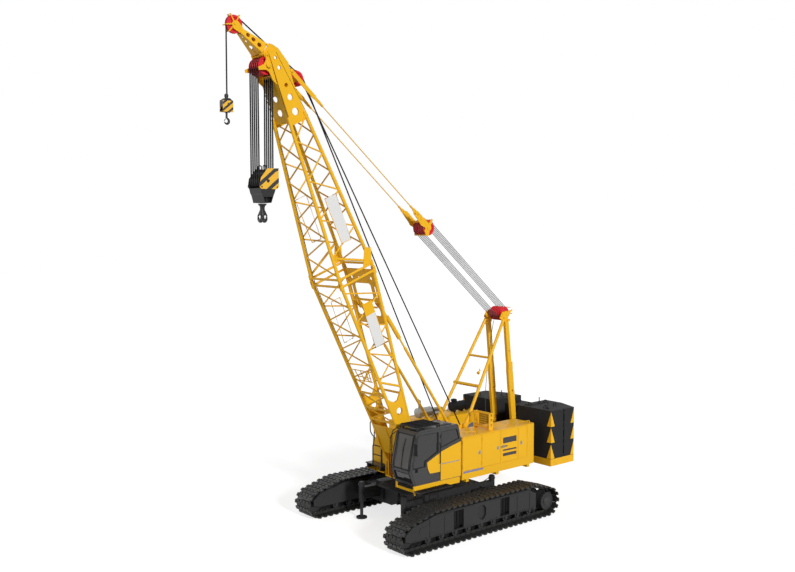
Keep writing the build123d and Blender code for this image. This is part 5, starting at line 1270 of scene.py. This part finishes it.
def makeSheaves():
    settings = {"spokes": 8, "rim": 10, "gap": 3}
    gap = settings["gap"]
    for name, (x, z), count, half, radius, body in (
            ("gantrySheaveFaces", gantryTop, 6, 230, 228, "luff_line"),
            ("bridleSheaveFaces", bridleShaft, 6, 230, 228, "bridle"),
            ("headSheaveFaces", headShaft, 5, 240, 235, "main_falls"),
            ("tipSheaveFaces", tipShaft, 1, 40, 235, "aux_falls")):
        faces = bmesh.new()
        width = 2 * half / count
        # holes between the spokes and the hub, on both outer faces
        for k in range(settings["spokes"]):
            t = 2 * pi * k / settings["spokes"]
            addLathe(faces, (x + 120 * cos(t), half - gap - width * 0.32, z + 120 * sin(t)), (0, 1, 0),
                     [(20, 0), (30, 0), (30, 6), (20, 6)], 12)
        addLathe(faces, (x, half - 4, z), (0, 1, 0), [(48, 0), (84, 0), (84, 7), (48, 7)], 28)
        mirrorCopy(faces)
        rim = [(radius - settings["rim"], -2), (radius - 1, -2), (radius + 1, 0), (radius - 1, 2),
               (radius - settings["rim"], 2)]
        for i in range(count):
            for y in (-half + i * width + gap, -half + (i + 1) * width - gap):
                addLathe(faces, (x, y, z), (0, 1, 0), rim, 40)
        piece(name, faces, body, "redPaint")
    print("sheaves: rims and hubs")


def makeBridle():
    c, t = cos(lineAngle), sin(lineAngle)

    def onLine(d, n, y):
        # d along the luffing line from the gantry's top, n above it
        return (gantryTop[0] + d * c - n * t, y, gantryTop[1] + d * t + n * c)
    fittings = bmesh.new()
    for d, n, r in ((5091, 0, 44), (4370, 0, 78), (4793, 9, 36), (4984, 29, 30)):
        addCap(fittings, onLine(d, n, 258), (0, 1, 0), [(r, -1), (r, 10), (r * 0.7, 20)], 20)
    for d, r in ((5230, 34), (5340, 34), (9560, 36), (9620, 36)):
        addLathe(fittings, onLine(d, 0, 272), (c, 0, t), [(26, -16), (r, -12), (r, 12), (26, 16)], 18)
    mirrorCopy(fittings)
    bow = [(60, -200), (190, -130), (190, 130), (60, 200)]
    addBentTube(fittings, [onLine(4586, n, y) for n, y in bow], 60, 15)
    piece("bridleFittings", fittings, "bridle", "yellowPaint")


def ringOfPoints(bm, centre, a, b, count):
    return [bm.verts.new(centre + a * cos(2 * pi * j / count) + b * sin(2 * pi * j / count))
            for j in range(count)]


def makeHooks():
    settings = {"stripeThick": 4, "auxThick": 14, "hornSteps": 20, "hookSteps": 22}
    x, z = blockShaft
    cheek = [(225, 66), (21, 323), (-332, 337), (-336, -152), (-270, -217), (210, -214), (264, -153)]
    plates = bmesh.new()
    addUpright(plates, [(x + dx, z + dz) for dx, dz in cheek], 295, settings["stripeThick"])
    mirrorCopy(plates)
    piece("blockStripes", plates, "main_block", "hazardStripes", 2)
    # shaft cap, rope guards, bolts, and ribs of the body under the cheeks
    black = bmesh.new()
    addCap(black, (x, 299, z), (0, 1, 0), [(26, 0), (26, 8), (18, 14)], 16)
    addHoop(black, x - 60, x + 40, 120, z + 310, z + 410, 40, 15)
    for dx, dz in ((190, -160), (-280, -160), (-280, 280)):
        addLathe(black, (x + dx, 299, z + dz), (0, 1, 0), [(0.5, 0), (22, 0), (22, 10), (0.5, 14)], 12)
    for dx in (-150, -20, 110):
        foot = dx * 0.6
        addPlate(black, [(x + dx - 12, 284, z - 200), (x + dx + 12, 284, z - 200),
                         (x + foot + 12, 150, z - 560), (x + foot - 12, 150, z - 560)], (0, 14, 0))
    mirrorCopy(black)
    for dx in (-240, 200):
        foot = dx * 0.45
        addUpright(black, [(x + dx, z - 200), (x + foot, z - 575), (x + foot + 14, z - 575),
                           (x + dx + 14, z - 200)], -285, 570)
    piece("blockBody", black, "main_block", "hookSteel", 3)

    # ramshorn: two swept horns with a tapering round section, their latches and the shank
    top = z - 590
    hook = bmesh.new()
    rings = []
    for k in range(settings["hornSteps"] + 1):
        t = k / settings["hornSteps"]
        a = radians(168 + 200 * t)
        big = 104 - 10 * t
        centre = Vector((x, 112 + big * cos(a), top - 358 + big * sin(a)))
        out = Vector((0, cos(a), sin(a)))
        r = 62 * (1 - t) + 22 * t + 18 * sin(pi * t)
        ring = []
        for j in range(14):
            u = 2 * pi * j / 14
            wide = 0.82 if cos(u) < 0 else 1.0
            sideways = Vector((r * 0.78 * sin(u), 0, 0))
            ring.append(hook.verts.new(centre + out * r * 0.92 * cos(u) * wide + sideways))
        rings.append(ring)
    joinRings(hook, rings)
    addPlate(hook, [(x - 14, 52, top - 150), (x - 14, 78, top - 140), (x - 14, 236, top - 330),
                    (x - 14, 214, top - 350)], (28, 0, 0))
    mirrorCopy(hook)
    addLathe(hook, (x, 0, top), (0, 0, -1), [(0.5, 4), (112, 4), (112, 40), (80, 60), (66, 90), (62, 190),
                                             (80, 260), (84, 320), (0.5, 330)], 28)
    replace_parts(piece("ramshornHook", hook, "main_hook", "hookSteel"), "ramshorn_hook")

    # auxiliary block: striped cheeks and its iron
    x, z = tipShaft[0] + 235, tipShaft[1] - 1900
    cheeks = bmesh.new()
    addBox(cheeks, (x - 149, x + 149), (74, 74 + settings["auxThick"]), (z - 352, z - 62))
    mirrorCopy(cheeks)
    piece("auxStripes", cheeks, "aux_block", "hazardSmall", 2)
    iron = bmesh.new()
    addLathe(iron, (x, 87, z - 140), (0, 1, 0), [(0.5, 0), (16, 0), (16, 8), (0.5, 12)], 12)
    mirrorCopy(iron)
    addLathe(iron, (x, 0, z + 60), (0, 1, 0), [(22, -20), (52, -20), (52, 20), (22, 20)], 20)
    addTube(iron, [(x, 0, z - 40), (x, 0, z + 110)], 26, 14)
    addUpright(iron, [(x - 150, z - 60), (x + 150, z - 60), (x + 60, z - 10), (x - 60, z - 10)], -74, 148)
    addCap(iron, (x, 0, z - 325), (0, 0, -1), [(48, -10), (48, 36), (34, 46)], 18)
    piece("auxIron", iron, "aux_block", "hookSteel")

    # its hook, with a safety latch
    z -= 372
    small = bmesh.new()
    addLathe(small, (x, 0, z), (0, 0, -1), [(0.5, 6), (30, 6), (26, 60), (30, 130), (0.5, 140)], 16)
    rings = []
    for k in range(settings["hookSteps"] + 1):
        t = k / settings["hookSteps"]
        a = radians(90 + 255 * t)
        centre = Vector((x + 66 * cos(a), 0, z - 208 + 68 * sin(a)))
        r = 22 + 14 * sin(pi * t) - 12 * t * t
        out = Vector((cos(a), 0, sin(a))) * r
        rings.append(ringOfPoints(small, centre, out, Vector((0, r * 0.75, 0)), 12))
    joinRings(small, rings)
    addUpright(small, [(x + 26, z - 150), (x + 36, z - 142), (x + 76, z - 200), (x + 66, z - 210)], -9, 18)
    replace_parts(piece("auxiliaryHook", small, "aux_hook", "hookSteel"), "aux_hook")
    print("hooks: stripes, ramshorn and auxiliary hook")


def makeDeck():
    settings = {"hose": 13, "valves": 5}
    # winch motors, brake housings and bearing caps outside the webs
    motors = bmesh.new()
    for x, z in drums.values():
        addCap(motors, (x, 592, z), (0, 1, 0), [(130, -38), (130, 0), (110, 30), (60, 40)], 28)
    mirrorCopy(motors)
    piece("winchMotors", motors, "upper", "greyPaint", 3)
    hoses = bmesh.new()
    for x, z in drums.values():
        for j in (-30, 0, 30):
            addBentTube(hoses, [(x + j, -640, z + 20), (x + j, -700, z - 40), (x + j + 120, -710, 1700),
                                (x + j + 160, -690, 1655)], 60, settings["hose"])
    for y in (-470, -430, -390):
        addBentTube(hoses, [(300, y, 1660), (-100, y, 1665), (-300, y * 1.02, 1665)], 80, settings["hose"])
    piece("deckHoses", hoses, "upper", "blackRubberAndPaintedShade")
    blocks = bmesh.new()
    addBox(blocks, (120, 420), (-380, -120), (1640, 1800))
    addBox(blocks, (160, 380), (120, 380), (1640, 1760))
    for x in (140 + 54 * i for i in range(settings["valves"])):
        addBox(blocks, (x, x + 36), (-400, -100), (1800, 1850))
    piece("valveBlocks", blocks, "upper", "greyPaint", 5)
    # cover plates, rails and brackets along both webs
    plates = bmesh.new()
    for x0, x1 in ((-3200, -2850), (-1990, -1850), (-990, -850), (100, 560)):
        addBox(plates, (x0, x1), (552, 800), (1632, 1642))
    addTube(plates, [(-3280, 536, 1650), (640, 536, 1650)], 10)
    for x in (-2900, -1900, -900, 0):
        addPlate(plates, [(x, 552, 1345), (x, 640, 1345), (x, 552, 1600)], (16, 0, 0))
    mirrorCopy(plates)
    # beam ends under the front of the cab
    addBox(plates, (1925, 1963), (1596, 1641), (1330, 1402))
    addBox(plates, (1957, 1964), (792, 1640), (1402, 1486))
    piece("deckPlates", plates, "upper", "yellowPaint")
    print("deck: winch motors, hoses and plates")


makeStage()
paintCad()
print("stage: frame and finishes done")
makeTracks()
makeUndercarriage()
makeRopes()
makeCab()
makeHouse()
makeWeights()
makeGantry()
makeBoom()
makeSheaves()
makeBridle()
makeHooks()
makeDeck()
